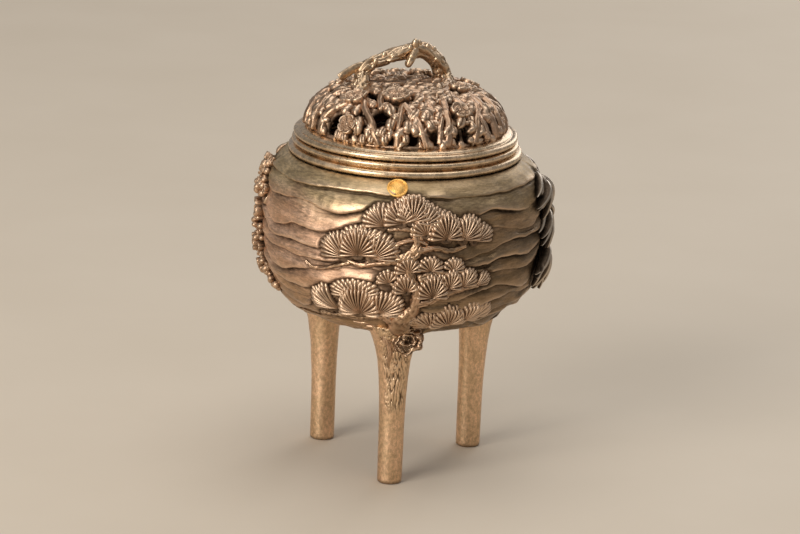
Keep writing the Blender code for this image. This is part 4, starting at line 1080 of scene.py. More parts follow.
# %% [markdown]
# The bowl is painted darker where the relief meets it: a painted shade that stands in for ambient occlusion,
# along with the wax and soot that gather there. An ambient occlusion node would be lost when the model is
# exported, so the feet of the relief are counted on a chart of the bowl, the chart is blurred, and the bowl
# reads its painted shade and soot from it.

# %% The bowl
def soot_and_shade_chart(pieces, blur):
    """How near relief is, on a chart with a cell for each half degree and half millimetre of climb: cells
    that hold a vertex are 1, and each blur takes the mean of a cell and its four neighbours."""
    at = np.vstack([read(piece.data.vertices, "co", 3) for piece in pieces]) * 1000
    theta = np.degrees(np.arctan2(at[:, 1], at[:, 0]))
    radius = np.hypot(at[:, 0], at[:, 1])
    climb = climb_at(BOWL, at[:, 2])
    near = radius > np.interp(climb, BOWL["climb"], BOWL["r"]) - 1.5
    chart = np.histogram2d(theta[near], climb[near], bins=(720, 400), range=((-180, 180), (0, 200)))[0]
    chart = np.clip(chart, 0, 1)
    for _ in range(blur):
        steps = (0, 0), (1, 0), (-1, 0), (1, 1), (-1, 1)
        chart = sum(np.roll(chart, step, axis) for step, axis in steps) / 5
    return chart


relief = [o for o in bpy.data.objects if o.name.startswith(("pine_needles", "pine_wood", "plum_", "bamboo_"))]
relief = [o for o in relief if o.name not in frame["nodes"] and not o.name.endswith("_foot")]
chart = soot_and_shade_chart(relief, 8)

column = ((around + 180) * 2).astype(int) % 720
soot_and_shade_at = lambda climb: chart[column, np.clip((climb * 2).astype(int), 0, 399)]
carved = LEDGE_LIFT * lifts * (1 - 0.75 * ease(0.25, 0.8, soot_and_shade_at(climbs)))
carved = carved + 0.30 * wander(hills, 24, 300) + 0.13 * wander(hills, 8, 301)
carved = carved + 0.13 * wander(hills * [1, 1, 3.4], 21, 302, 20)

floor_rows = np.linspace(0.02, 1, 12)[:-1, None] * climbs[0]
neck_rows = climbs[-1] + np.array([0.35, 0.7, 1.0])[:, None] * (climb_at(BOWL, 149.2) - climbs[-1])
outer = np.vstack([floor_rows, climbs, neck_rows])
fade = np.array([0.6, 0.25, 0.0])[:, None] * carved[-1]
raised = np.vstack([0 * floor_rows, carved, fade])
bowl_rows = on_skin(BOWL, around, outer, raised)
rim = soften([(54.5, 149.3), (53.8, 149.3), (53.8, 148.5), (49.5, 148.5), (49.5, 145.3)], 1)
turn = np.radians(around)
rim_rows = np.stack([rim[:, :1] * np.cos(turn), rim[:, :1] * np.sin(turn), rim[:, 1:] + 0 * turn], -1)
inner = np.linspace(climb_at(BOWL, 145.3), 0.3, 14)[1:, None]
inner_rows = on_skin(BOWL, around, inner, -3.2)

# Painted shade where the relief meets the bowl, with wax and soot; near the relief it also dims the lips'
# painted highlights.
soot_and_shade = np.clip(soot_and_shade_at(outer) * 1.6, 0, 0.9)
blank = lambda rows: np.zeros((rows, COLUMNS))
rest = len(rim_rows) + len(inner_rows)
hollow = np.vstack([blank(len(floor_rows)), dark, np.full((len(neck_rows), COLUMNS), 0.2)])
hollow = np.vstack([np.maximum(hollow, soot_and_shade), blank(rest) + 0.5])
lip_highlight = lip_highlight * (1 - soot_and_shade[len(floor_rows) : -len(neck_rows)])
worn_and_highlight = np.vstack([blank(len(floor_rows)), lip_highlight, blank(len(neck_rows) + rest)])
bowl_shell = shell(np.concatenate([bowl_rows, rim_rows, inner_rows]), hollow, worn_and_highlight)
make_piece("bowl_shell", [bowl_shell], bowl_bronze, "burner", "bronze", ["bowl"], 2.6)


# %% [markdown]
# ## The turned rings
#
# The mouth collar and the lid's flange were turned on a lathe after casting: two beads with a hollow between
# them, then the rolled edge of the lid and the slope that carries the dome. The CAD profiles are right, but
# their corners are sharp and they have few sides, so they are softened and spun with 220 columns.

# %% Collar, lid ring and liner
def bead(r, z, size, start=-80, end=80, count=9):
    """Points on an arc of a circle about r, z, from an angle below the level to one above it."""
    angle = np.radians(np.linspace(start, end, count))
    return [(r + size * np.cos(a), z + size * np.sin(a)) for a in angle]


COLLAR = [(53.2, 148.9), *bead(53.2, 151.45, 1.8), (52.3, 153.5), (51.5, 153.85), (51.9, 154.2),
          *bead(52.1, 155.45, 1.3), (51.4, 157), (48.6, 157), (48.6, 150.3), (46.2, 150.3),
          (46.2, 148.9)]  # fmt: skip
LID_RING = [(46.7, 152.6), (48.1, 152.6), (48.1, 157.3), (50.9, 157.3), *bead(51.2, 158.85, 1.5, -75),
            (50.6, 160.45), (50.1, 160.35), (49.8, 160.75), (49.5, 161.2), (48.2, 161.75), (46.4, 162.35),
            (45.7, 162.1), (45.7, 161), (42.6, 161), (42.6, 159), (46.7, 156)]  # fmt: skip
LINER = [(0.3, 95.4), (36, 97), (42, 105), (44.6, 118), (45.2, 149), (45.4, 150.6), (48, 150.6), (48, 151.4),
         (44.4, 151.4), (44.2, 149), (43.6, 118), (41.1, 105.5), (35.5, 98), (0.3, 96.4)]  # fmt: skip
ring_parts = (
    ("collar_ring", COLLAR, "burner", "mouth_collar", ring_bronze, "bronze", True),
    ("lid_flange", LID_RING, "lid", "lid_ring", ring_bronze, "bronze", True),
    ("liner_cup", LINER, "burner", "ash_liner", spun_copper, "copper", False),
)
for name, profile, body, stands_for, material, slot, ring in ring_parts:
    spun = turned(soften(profile, 1, ring), 220, ring, wobble=0.04)
    make_piece(name, [spun], material, body, slot, [stands_for], 1.0)


# %% [markdown]
# ## The gilt stud
#
# A small gilt mount sits in the middle of the front, riveted through the bowl. Here it is a plain boss with a
# rim round a shallow dome. It is one profile spun on a flat patch that faces out of the bowl, and a faint
# wander makes it look hammered.

# %% The gilt stud
STUD = [(0.1, -4.2), (0.8, -4.2), (0.8, 0.0), (4.2, 0.0), (4.75, 0.15), (4.9, 0.7), (4.85, 1.1),
        (4.5, 1.35), (4.15, 1.3),
        (3.95, 0.95), (3.6, 0.95), (3.1, 1.25), (2.2, 1.7), (1.1, 1.95), (0.1, 2.0)]  # fmt: skip
stud_profile = soften(STUD, 2)
turn = np.linspace(0, 2 * np.pi, 96, endpoint=False)
stud_place = -92.6, climb_at(BOWL, 146.4)
face = free_patch(on_skin(BOWL, *stud_place), normal_on(BOWL, *stud_place))
x, y = stud_profile[:, :1] * np.sin(turn), stud_profile[:, :1] * np.cos(turn)
hammered = 0.05 * wander(np.stack([y, x], -1), 1.3, 5)
rows = face(x, y, stud_profile[:, 1:] + hammered * (stud_profile[:, 1:] > 0.8))
make_piece("gilt_stud", [shell(rows)], gilt, "burner", "gilt", ["gilt_boss"])

# %% [markdown]
# ## The lid's openwork
#
# The dome is a thicket cast in one: a web pierced by dark gaps where the smoke comes out, with stems, buds,
# leaves and open flowers on it. Boolean cuts would leave sharp walls and poor faces. Here a grid over the
# dome drops the faces inside each hole, and its corners move on to the hole's edge.

# %% The pierced dome
def pierced(skin, holes, climbs, columns=400, high=0.7, low=-1.2, rounding=1.7):
    """Two skins over a grid, joined by walls round the holes. A hole is an oval, and f is the root of the sum
    of squares of the distances along its axes over its half sizes. Faces with all corners at f below 1 go;
    other corners below 1 move out from the hole's middle to f = 1. The outer skin falls to each hole as a
    quarter circle over the rounding, so that the bars between the holes look round, and carries lumps."""
    theta, climb = np.meshgrid(np.linspace(-180, 180, columns, endpoint=False), climbs)
    radius = np.maximum(np.interp(climb, skin["climb"], skin["r"]), 0.5)
    label, gap = np.full(theta.shape, -1), np.full(theta.shape, 9.0)
    moved_theta, moved_climb = theta.copy(), climb.copy()
    for number, (hole_theta, hole_climb, half, tall, tilt) in enumerate(holes):
        c, s = np.cos(np.radians(tilt)), np.sin(np.radians(tilt))
        across, up = np.radians((theta - hole_theta + 180) % 360 - 180) * radius, climb - hole_climb
        f = np.hypot((across * c - up * s) / half, (across * s + up * c) / tall)
        inside = (f < 1) & (label < 0)
        label[inside] = number
        grow = np.where(inside, 1 / np.maximum(f, 0.05) - 1, 0)
        moved_theta += grow * np.degrees(across / radius)
        moved_climb += grow * up
        gap = np.minimum(gap, np.maximum(f - 1, 0) * min(half, tall))
    n, m = theta.shape
    count = n * m + 1
    first = np.arange(n - 1)[:, None] * m
    j, k = np.arange(m), (np.arange(m) + 1) % m
    quads = np.stack([first + j, first + k, first + m + k, first + m + j], -1).reshape(-1, 4)
    corner = label.ravel()[quads]
    quads = quads[(corner[:, 0] < 0) | (corner != corner[:, :1]).any(1)]
    tris = np.stack([(n - 1) * m + j, (n - 1) * m + k, np.full(m, n * m)], -1)
    sides = [quads[:, [i, (i + 1) % 4]] for i in range(4)] + [tris[:, [i, (i + 1) % 3]] for i in range(3)]
    sides = np.vstack(sides)
    open_sides = sides[~np.isin(sides[:, 0] * count + sides[:, 1], sides[:, 1] * count + sides[:, 0])]
    a, b = open_sides.T
    walls = np.stack([b, a, a + count, b + count], -1)
    quads = np.vstack([quads, quads[:, ::-1] + count, walls])
    tris = np.vstack([tris, tris[:, ::-1] + count])

    dip = np.clip(gap / rounding, 0, 1)
    at = on_skin(skin, moved_theta, moved_climb)
    lumps = 0.75 * wander(at, 6.0, 77) + 0.45 * wander(at, 2.8, 78, 20)
    lift = low + 1.0 + (high - low - 1.0) * np.sqrt(dip * (2 - dip)) + dip * lumps
    outer = on_skin(skin, moved_theta, moved_climb, lift).reshape(-1, 3)
    inner = on_skin(skin, moved_theta, moved_climb, low).reshape(-1, 3)
    points = np.vstack([outer, outer[-m:].mean(0), inner, inner[-m:].mean(0)])
    # Painted shade: the web darkens towards each hole and in the low places between lumps, and the inner
    # skin, which the holes' walls join, is dark all over.
    dark = 1.0 - dip * np.clip(0.42 + 0.7 * lumps, 0, 1)
    hollow = np.concatenate([dark.ravel(), [0.7], np.ones(count)])
    worn_and_highlight = np.concatenate([(0.6 * dip * np.clip(lumps, 0, 1)).ravel(), np.zeros(count + 1)])
    used, place = np.unique(np.concatenate([quads.ravel(), tris.ravel()]), return_inverse=True)
    quads, tris = place[: quads.size].reshape(-1, 4), place[quads.size :].reshape(-1, 3)
    return points[used], *outward(points[used], quads, tris), hollow[used], worn_and_highlight[used]


# A hole is degrees round, climb, half width, half height and tilt.
HOLES = [
    (-152, 6.8, 1.5, 4.3, 10), (-137.5, 7.8, 2.3, 5.2, 20), (-116, 6.6, 1.5, 2.6, 0),
    (-123.5, 14.2, 1.3, 1.4, 0), (-123, 28.4, 2.4, 6.4, -38), (-106.5, 13.2, 3.1, 4.4, -12),
    (-99, 3.8, 1.5, 1.9, 0), (-157, 20.7, 1.7, 2.7, 20), (-74, 30, 2.9, 2.1, 0), (-86, 4.6, 1.8, 2.4, 0),
    (-72.5, 4.9, 1.4, 2.4, 0), (-52, 5.6, 1.2, 3.5, 0), (-80, 18.1, 2.0, 2.3, 20), (-40, 21.9, 1.3, 1.8, 0),
    (-31, 6.6, 1.3, 3.4, 0), (-91, 38.8, 3.0, 1.6, 0), (-56, 23, 1.5, 2.1, 20), (-31, 14.6, 1.3, 2.4, -10),
    (-17, 30.0, 2.2, 1.8, 0), (-58, 5.0, 1.0, 2.2, 0), (-130, 37.5, 1.8, 1.4, 0),
    (-64.5, 12.8, 1.2, 2.0, 0), (-91, 11.2, 1.1, 2.6, 0), (-99.5, 20.5, 1.5, 1.2, 0),
    (-165, 8.5, 1.4, 4.0, -10), (-178, 5.5, 1.5, 3.2, 12), (-172, 16.5, 1.6, 2.8, 18),
    (-146, 16.5, 1.3, 1.8, 0), (-41.5, 8.0, 1.0, 2.8, 30), (-21, 9.5, 1.4, 4.4, 8),
    (-12, 5.0, 1.3, 2.9, -6), (-10, 17.0, 1.9, 3.0, -20), (-44, 36, 2.0, 1.5, 20), (-66, 38.5, 1.5, 1.1, 0),
    (-150, 30, 1.8, 2.4, 30), (-113, 21.5, 1.2, 1.3, 0), (-60, 45.5, 2.4, 1.5, 0), (-125, 45, 2.6, 1.6, 30),
    (170, 42, 2.2, 2.2, 0), (35, 42, 2.6, 1.8, 0), (95, 46, 2.6, 1.6, 0), (-20, 42, 2.2, 1.7, 0),
    (-160, 38.5, 2.2, 1.8, 0), (-94, 49.5, 2.6, 1.3, 0),
]  # fmt: skip
rng = np.random.default_rng(21)
# A row of holes at the back is its climb, the degrees from hole to hole, half width and half height.
BACK_ROWS = [(6.6, 15.0, 2.3, 4.2), (16.8, 17.0, 2.6, 3.6), (27.0, 24.0, 2.6, 3.0), (37.0, 40.0, 2.3, 2.0)]
for climb, step, half, tall in BACK_ROWS:
    for theta in np.arange(0 if climb < 10 else 6, 176, step):
        size = rng.uniform(0.75, 1.1, 2)
        spot = theta + rng.uniform(-2, 2), climb + rng.uniform(-1, 1)
        HOLES.append((*spot, half * size[0], tall * size[1], rng.uniform(-28, 28)))
web_climbs = np.concatenate([np.arange(0.2, 46.4, 0.72), [47.5, 49.3, 51.2, 52.8, 54.0]])
wider = [(theta, climb, 1.45 * half, 1.25 * tall, tilt) for theta, climb, half, tall, tilt in HOLES]
web = pierced(DOME, wider, web_climbs)
FOOT_BAND = [(43.4, 161.1), (45.6, 161.1), (46.2, 162.0), (46.0, 163.0), (45.0, 163.4), (43.5, 162.8)]
make_piece("lid_web", [web, turned(FOOT_BAND, 200, True)], lid_bronze, "lid", "bronze", ["lid_dome"])

# %% [markdown]
# Over the web stand the stems, ribbed along like young wood, and they lean and fork as they climb. They are
# what the eye follows, so the front ones were placed one by one and those at the back by a seeded rule.

# %% Stems of the dome
def ribbed(seed, ribs=7, depth=0.17):
    """Ridges for a limb: ribs that wind slowly along it, and slow lumps."""

    def ridge(length, turn):
        wound = ribs * turn + 0.5 * np.sin(0.35 * length + seed)
        at = np.stack(np.broadcast_arrays(0.5 * length, np.cos(turn), np.sin(turn)), -1)
        lumps = wander(at, 2.5, seed)
        return depth * (np.abs(np.cos(wound / 2)) * 1.5 - 1 + 0.9 * lumps)

    return ridge


def dome_stem(stops, seed):
    """A ribbed limb on the dome from stops of degrees round, climb, half width and height over the dome."""
    theta, climb, half, high = along(flow(stops, 200), stations(46)).T
    centres, out = on_skin(DOME, theta, climb, 0.8), normal_on(DOME, theta, climb)
    return shell(limb(centres, out, 1.2 * half, 1.35 * high, 20, ribbed(seed), (0.7, 0.7)))


FRONT_STEMS = [
    [(-128, 23, 1.9, 1.7), (-122, 18.1, 1.6, 1.6), (-112, 11.1, 1.5, 1.6), (-104.5, 0.8, 1.6, 1.6)],
    [(-93, 24, 1.5, 1.6), (-94, 18, 1.4, 1.6), (-94.4, 10, 1.3, 1.6), (-94.8, 0.8, 1.5, 1.6)],
    [(-93, 24, 1.7, 1.7), (-87.5, 18.5, 1.6, 1.6), (-81.5, 11, 1.6, 1.6), (-77.5, 0.8, 1.7, 1.6)],
    [(-52, 30, 1.9, 1.8), (-60, 20, 1.8, 1.7), (-63, 11, 1.7, 1.7), (-65.5, 0.8, 1.8, 1.6)],
    [(-24, 24, 1.8, 1.8), (-33, 15.5, 1.8, 1.7), (-41.5, 10, 1.6, 1.7), (-47, 0.8, 1.8, 1.6)],
    [(-18, 27, 1.8, 1.7), (-24, 17, 1.7, 1.7), (-26, 9, 1.6, 1.6), (-26, 0.8, 1.8, 1.6)],
    [(-70, 2.5, 1.2, 1.4), (-69, 9.5, 1.2, 1.5), (-65.5, 15, 1.2, 1.5)],
    [(-145, 0.8, 2.0, 1.9), (-147.5, 8, 1.9, 1.9), (-144, 14, 1.8, 1.8), (-137, 19.5, 1.6, 1.6)],
    [(-173, 0.8, 2.4, 2.1), (-176, 10, 2.3, 2.1), (-184, 17, 2.2, 2.0), (-182, 27, 1.9, 1.8)],
    [(-159, 0.8, 2.0, 1.8), (-160, 9, 1.9, 1.8), (-166, 17, 1.8, 1.7), (-164, 25, 1.6, 1.6)],
    [(-130, 0.8, 1.6, 1.5), (-129, 8, 1.5, 1.5), (-131, 14, 1.4, 1.4)],
    [(-16, 0.8, 1.8, 1.6), (-16.5, 9, 1.7, 1.6), (-13, 13, 1.5, 1.6), (-4, 22, 1.6, 1.6)],
    [(-6, 0.8, 1.7, 1.6), (-4, 9, 1.7, 1.6), (-6, 17, 1.5, 1.5), (-10, 24, 1.5, 1.5)],
    [(-36, 0.8, 1.4, 1.5), (-36.5, 8, 1.3, 1.5), (-35, 14, 1.3, 1.4)],
    [(-118, 30, 1.5, 1.6), (-113, 24, 1.5, 1.6), (-108, 18, 1.4, 1.5)],
    [(-68, 31, 1.5, 1.6), (-72, 25, 1.5, 1.6), (-70, 17, 1.4, 1.5)],
    [(-36, 32, 1.5, 1.6), (-42, 26, 1.5, 1.6), (-40, 18, 1.4, 1.5)],
    [(-160, 26, 1.6, 1.6), (-148, 24, 1.5, 1.6), (-140, 26, 1.6, 1.6), (-134, 28, 1.6, 1.6)],
    [(-118, 36, 1.6, 1.7), (-106, 33, 1.8, 1.8), (-94, 33.5, 1.7, 1.8), (-84, 36, 1.8, 1.8),
     (-70, 34.5, 1.8, 1.8)],
    [(-70, 34.5, 1.7, 1.7), (-52, 33, 1.8, 1.8), (-36, 34, 1.7, 1.7), (-18, 36, 1.8, 1.8)],
]  # fmt: skip
back = []
for foot in np.linspace(7, 178, 13):
    lean, reach, stout = rng.uniform(-10, 10), rng.uniform(18, 29), rng.uniform(1.5, 2.0)
    bow = rng.uniform(-4, 4)
    middle = (foot + bow, 0.45 * reach, stout, 1.7)
    back.append([(foot, 0.8, stout, 1.7), middle, (foot + lean, reach, 1.4, 1.5)])
for start in (2, 38, 74, 110, 146):
    level = rng.uniform(20, 24)
    middle = (start + 16, level - 3, 1.5, 1.6)
    back.append([(start, level, 1.4, 1.5), middle, (start + 34, level + 2, 1.4, 1.5)])
shells = [dome_stem(stops, 400 + k) for k, stops in enumerate(FRONT_STEMS + back)]


def climb_at_radius(r):
    return np.interp(-r, -DOME["r"], DOME["climb"])


def crown_twig(stops, seed):
    """A twig over the crown from stops of x, y and half width, lifted on to the dome's skin."""
    x, y, half = along(flow(stops, 120), stations(44)).T
    theta, climb = np.degrees(np.arctan2(y, x)), climb_at_radius(np.hypot(x, y))
    centres, out = on_skin(DOME, theta, climb, 0.8), normal_on(DOME, theta, climb)
    return shell(limb(centres, out, half, 0.9 * half, 18, ribbed(seed)))


CROWN_TWIGS = [
    [(-30, -5, 2.0), (-21, -4, 3.0), (-12, -6, 2.2), (-3, -4, 1.9), (6, 2, 2.0), (14, 9, 2.8),
     (20, 16, 3.0), (26, 22, 2.0)],
    [(-21, -4, 2.4), (-22, 6, 1.9), (-16, 14, 1.7), (-8, 18, 1.6), (2, 22, 1.5)],
    [(17, 13, 2.4), (12, 20, 1.8), (4, 24, 1.6), (-5, 27, 1.5)],
    [(-12, -6, 1.8), (-10, -14, 1.7), (-4, -20, 1.6), (2, -26, 1.4)],
    [(-3, -4, 1.6), (6, -9, 1.6), (14, -10, 1.6), (22, -14, 1.5), (28, -18, 1.3)],
    [(14, 9, 1.8), (20, 2, 1.7), (26, -3, 1.6), (32, -5, 1.4)],
    [(-21, -4, 2.0), (-18, -13, 1.8), (-20, -20, 1.6), (-16, -27, 1.4)],
    [(6, -9, 1.4), (8, -17, 1.5), (14, -24, 1.4)],
    [(-28, 10, 1.5), (-22, 6, 1.6), (-14, 4, 1.5), (-6, 8, 1.4), (2, 12, 1.4), (10, 14, 1.5)],
    [(-16, 14, 1.4), (-20, 22, 1.5), (-18, 29, 1.3)],
    [(20, 2, 1.3), (12, -1, 1.3), (4, -2, 1.2)],
]
shells += [crown_twig(stops, 600 + k) for k, stops in enumerate(CROWN_TWIGS)]
make_piece("lid_stems", shells, lid_bronze, "lid", "bronze")

# %% [markdown]
# Buds, leaves and lumps crowd between the stems, so that hardly any smooth metal shows. Scattering objects
# over the dome would drop some into the holes. So the listed buds, the lumps and the leaves are measured
# against every hole and flower first, and only places with room get one; the rows of buds at the back and
# over the crown are set without that measure. The lumps have few faces, since there are many of them.

# %% Buds and leaves of the dome
# A bud is degrees round, climb, half height, lift and tilt.
FRONT_BUDS = [
    (-120, 9.8, 2.7, 2.6, -35), (-111, 15.2, 2.3, 2.4, 40), (-112, 6.3, 2.2, 2.2, -30),
    (-115, 2.9, 2.2, 2.2, 0), (-110, 3.5, 2.1, 2.1, 20), (-104, 19.8, 2.6, 2.6, -20),
    (-99.5, 10.6, 2.7, 2.6, 10), (-102, 4, 2.3, 2.2, 0), (-104, 7.1, 2.2, 2.2, 30),
    (-50, 37.6, 2.4, 2.5, 0), (-45, 27.7, 2.5, 2.5, 30), (-28, 24.6, 2.5, 2.5, 0),
    (-77, 21.9, 2.6, 2.6, 10), (-66, 19.3, 2.5, 2.5, -20), (-77.5, 15.2, 2.8, 2.7, 25),
    (-75, 10.8, 2.6, 2.6, -10), (-72.5, 2.6, 2.2, 2.1, 0), (-57, 3.4, 2.6, 2.4, 0),
    (-89, 9.9, 2.8, 2.6, 10), (-84.5, 8.6, 2.6, 2.5, -25), (-90, 4.6, 2.1, 2.1, 0), (-3, 20.7, 2.4, 2.4, 0),
    (-127, 2.6, 2.2, 2.1, 0), (-36, 3.4, 2.3, 2.3, 0), (-21, 3.5, 2.2, 2.2, 20), (-10, 11.5, 2.3, 2.3, 10),
    (-152.5, 13.8, 2.3, 2.3, 30), (-166, 3.4, 2.3, 2.2, 0), (-104, 38, 2.5, 2.6, 60),
    (-80, 40, 2.6, 2.7, -60), (-62, 33, 2.6, 2.6, 80), (-116, 31, 2.4, 2.5, 30), (-91, 28.5, 2.6, 2.6, 90),
    (-82, 30.5, 2.5, 2.5, 60), (-68, 28, 2.4, 2.5, 0), (-40, 31, 2.4, 2.5, 30), (-134, 33, 2.3, 2.4, 0),
    (-142, 21, 2.2, 2.3, 40), (-33, 20, 2.2, 2.3, 0), (-14, 22, 2.2, 2.3, 0), (-43, 6, 2.3, 2.3, 30),
    (-30, 11, 2.3, 2.3, -20), (-17, 14, 2.4, 2.3, 30), (-38, 17, 2.4, 2.4, 50), (-68, 15.5, 2.2, 2.3, 40),
    (-97, 14.5, 2.2, 2.3, -40), (-61, 7.5, 2.2, 2.3, 10), (-107, 21, 2.3, 2.4, 60),
    (-118, 21.5, 2.4, 2.4, -60), (-84, 23, 2.4, 2.4, 80), (-88, 34, 2.6, 2.6, 70), (-50, 32, 2.5, 2.5, -60),
    (-132, 3, 2.2, 2.2, 10), (-149, 21, 2.4, 2.4, 70), (-158, 14, 2.4, 2.4, 0), (-170, 13, 2.4, 2.4, 20),
    (178, 12, 2.4, 2.4, 0),
]  # fmt: skip


def tulip(theta, climb, size, lift, tilt):
    """A long bud of two petals that overlap: an oval mound, less a groove that runs up it off the middle, and
    drawn in below, where it sits in a cup."""
    turn = np.linspace(0, 2 * np.pi, 26, endpoint=False)
    share = np.array([0.12, 0.3, 0.48, 0.64, 0.78, 0.9, 0.97, 1.0])[:, None]
    size, lift = 1.22 * size, 1.12 * lift
    outline = size * (0.72 + 0.28 * np.abs(np.cos(turn))) * (1 + 0.08 * np.cos(turn))
    x, y = share * outline * np.sin(turn) / size, share * outline * np.cos(turn) / size
    groove = np.exp(-(((x - 0.16 + 0.25 * y) / 0.10) ** 2)) * ease(-0.5, 0.0, y)
    cup = np.exp(-(((y + 0.52) / 0.10) ** 2))
    height = lift * (np.sqrt(1 - 0.97 * share**2) - 0.26 * groove - 0.16 * cup)
    place = patch(DOME, theta, climb, tilt, -0.8)
    # A painted highlight on the top of the bud, off its groove.
    painted_highlight = 0.8 * ease(0.9, 0.3, share) * (1 - groove)
    dark = np.clip(0.9 * groove + 0.7 * cup, 0, 1)
    return bump(place, turn, outline, share[:, 0], height, -1.8, dark, painted_highlight)


def knob(theta, climb, size, lift, tilt, seed):
    """A lump of few faces: an oval mound whose outline and height change with a wander."""
    turn = np.linspace(0, 2 * np.pi, 12, endpoint=False)
    share = np.array([0.25, 0.55, 0.8, 0.95, 1.0])[:, None]
    rough = wander(np.stack([np.cos(turn), np.sin(turn)], -1), 1.6, seed)
    outline = size * (0.66 + 0.34 * np.abs(np.cos(turn))) * (1 + 0.38 * rough)
    height = lift * np.sqrt(1 - 0.96 * share**2) * (1 + 0.5 * rough * share)
    place = patch(DOME, theta, climb, tilt, -0.4)
    return bump(place, turn, outline, share[:, 0], height, -1.4, 0.6 * (share > 0.9), 0.75 * (share < 0.6))


def flower_place(degrees):
    """The climb at an angle up the dome's outline."""
    return climb_at_radius(squared_oval(np.radians(degrees), DOME_RADIUS, DOME_RISE, DOME_POWER)[0])


# A flower is degrees round, degrees up the dome's outline, and radius, as in the CAD.
LID_FLOWERS = [(-100, 35, 6.2), (-136, 27, 5.6), (-51, 20, 4.9), (-12, 38, 5.2), (30, 26, 5.0), (74, 43, 5.4),
               (100, 26, 5.0), (134, 40, 5.4), (172, 27, 4.9), (-126, 10, 4.9)]  # fmt: skip


def open_ground(theta, climb):
    """How far a place lies outside the nearest hole or flower, in half sizes of it."""
    radius = np.interp(climb, DOME["climb"], DOME["r"])
    flowers = [(across, flower_place(up), 0.9 * size, 0.9 * size, 0) for across, up, size in LID_FLOWERS]
    holes = np.array(wider + flowers)
    across = np.radians((theta - holes[:, 0] + 180) % 360 - 180) * radius
    tilt = np.radians(holes[:, 4])
    up = climb - holes[:, 1]
    x, y = across * np.cos(tilt) - up * np.sin(tilt), across * np.sin(tilt) + up * np.cos(tilt)
    return np.hypot(x / holes[:, 2], y / holes[:, 3]).min()


BUD_ROOM, KNOB_ROOM, LEAF_ROOM = 0.85, 1.25, 1.0  # how far each stays from holes and flowers, in half sizes
rng = np.random.default_rng(51)
shells = [tulip(*numbers) for numbers in FRONT_BUDS if open_ground(*numbers[:2]) > BUD_ROOM]
for climb in (2.4, 7.0, 11.6, 16.2, 20.8, 25.4, 30.0, 34.6, 39.2, 43.8, 48.4):
    radius = np.interp(climb, DOME["climb"], DOME["r"])
    for theta in np.arange(0, 360, 290 / radius) + rng.uniform(0, 9):
        spot = theta + rng.uniform(-60, 60) / radius, climb + rng.uniform(-1.2, 1.2)
        sparse = rng.random() < 0.5 * ease(24, 34, climb)
        if open_ground(*spot) > KNOB_ROOM and not sparse:
            size = rng.uniform(1.7, 3.3)
            shells.append(knob(*spot, size, size * rng.uniform(0.75, 1.0), rng.uniform(-60, 60), len(shells)))
rng = np.random.default_rng(33)
for theta in np.linspace(-8, 186, 42):
    climb = rng.choice([3, 10, 13, 20, 24, 31, 37]) + rng.uniform(-1.5, 1.5)
    spot = theta + rng.uniform(-3, 3), climb
    shells.append(tulip(*spot, rng.uniform(2.1, 2.7), rng.uniform(2.2, 2.7), rng.uniform(-90, 90)))
for k in range(26):
    away, turn = 25 * np.sqrt((k + 0.5) / 26), GOLDEN_TURN * k
    x, y = away * np.cos(turn), away * np.sin(turn)
    spot = np.degrees(np.arctan2(y, x)), climb_at_radius(np.hypot(x, y))
    shells.append(tulip(*spot, rng.uniform(2.4, 3.4), rng.uniform(2.0, 2.9), rng.uniform(-90, 90)))
# A leaf is degrees round, climb and tilt.
PETAL_LEAVES = [
    (-136, 17, -30), (-128, 12, 60), (-108, 26, 50), (-99, 15, -40), (-84, 26, 40), (-71, 15, -60),
    (-57, 9, 30), (-46, 18, -30), (-28, 11, 20), (-150, 19, 40), (-162, 6, -20), (-172, 20, 20),
    (-118, 32, -20), (-60, 27, 70), (-8, 14, -30), (6, 20, 40), (24, 16, -20), (44, 12, 30), (58, 22, -50),
    (84, 18, 10), (96, 8, -30), (118, 26, 40), (128, 8, -20), (146, 20, 30), (162, 8, -40), (176, 18, 10),
    (30, 34, 60), (120, 36, -30), (-30, 36, 20), (-88, 14, 30), (-68, 6, 40), (-119, 4, -20), (-141, 3, 15),
    (-49, 13, 40), (-96, 27, 80), (-76, 35, 90),
]  # fmt: skip
for theta, climb, tilt in PETAL_LEAVES:
    if open_ground(theta, climb) > LEAF_ROOM:
        shells.append(petal_leaf(DOME, theta, climb, 8.5, 2.5, tilt, 2.4, round(theta) % 360, 1.6))
make_piece("lid_buds", shells, lid_bronze, "lid", "bronze")

# %% [markdown]
# Ten open plum flowers stand on top of the thicket and catch the light. They are the blossom from the bowl
# again, on flat patches square to the dome and a little above it. A texture of a flower would have no rims
# to catch the light.

# %% Blossoms of the dome
for number, (theta, degrees, radius) in enumerate(LID_FLOWERS, 1):
    climb = flower_place(degrees)
    place = free_patch(on_skin(DOME, theta, climb, 2.3), normal_on(DOME, theta, climb))
    flower = blossom(place, radius, 0.42 * radius, 0.4 * number, 150, -2.8)
    replaced = [f"lid_flower_{number}"]
    make_piece(f"lid_blossom_{number}", [flower], blossom_bronze, "lid", "bronze", replaced, 2.2)

# %% [markdown]
# ## The branch that lifts the lid
#
# The handle is a bent old branch with ribbed bark, a side branch sawn off at the left, knots on its top
# and a drooping spur. It is round in the air, so its limb is as high as it is wide, but for the sawn
# branch, which is flat. A curve with a bevel would be quicker and would have no bark.

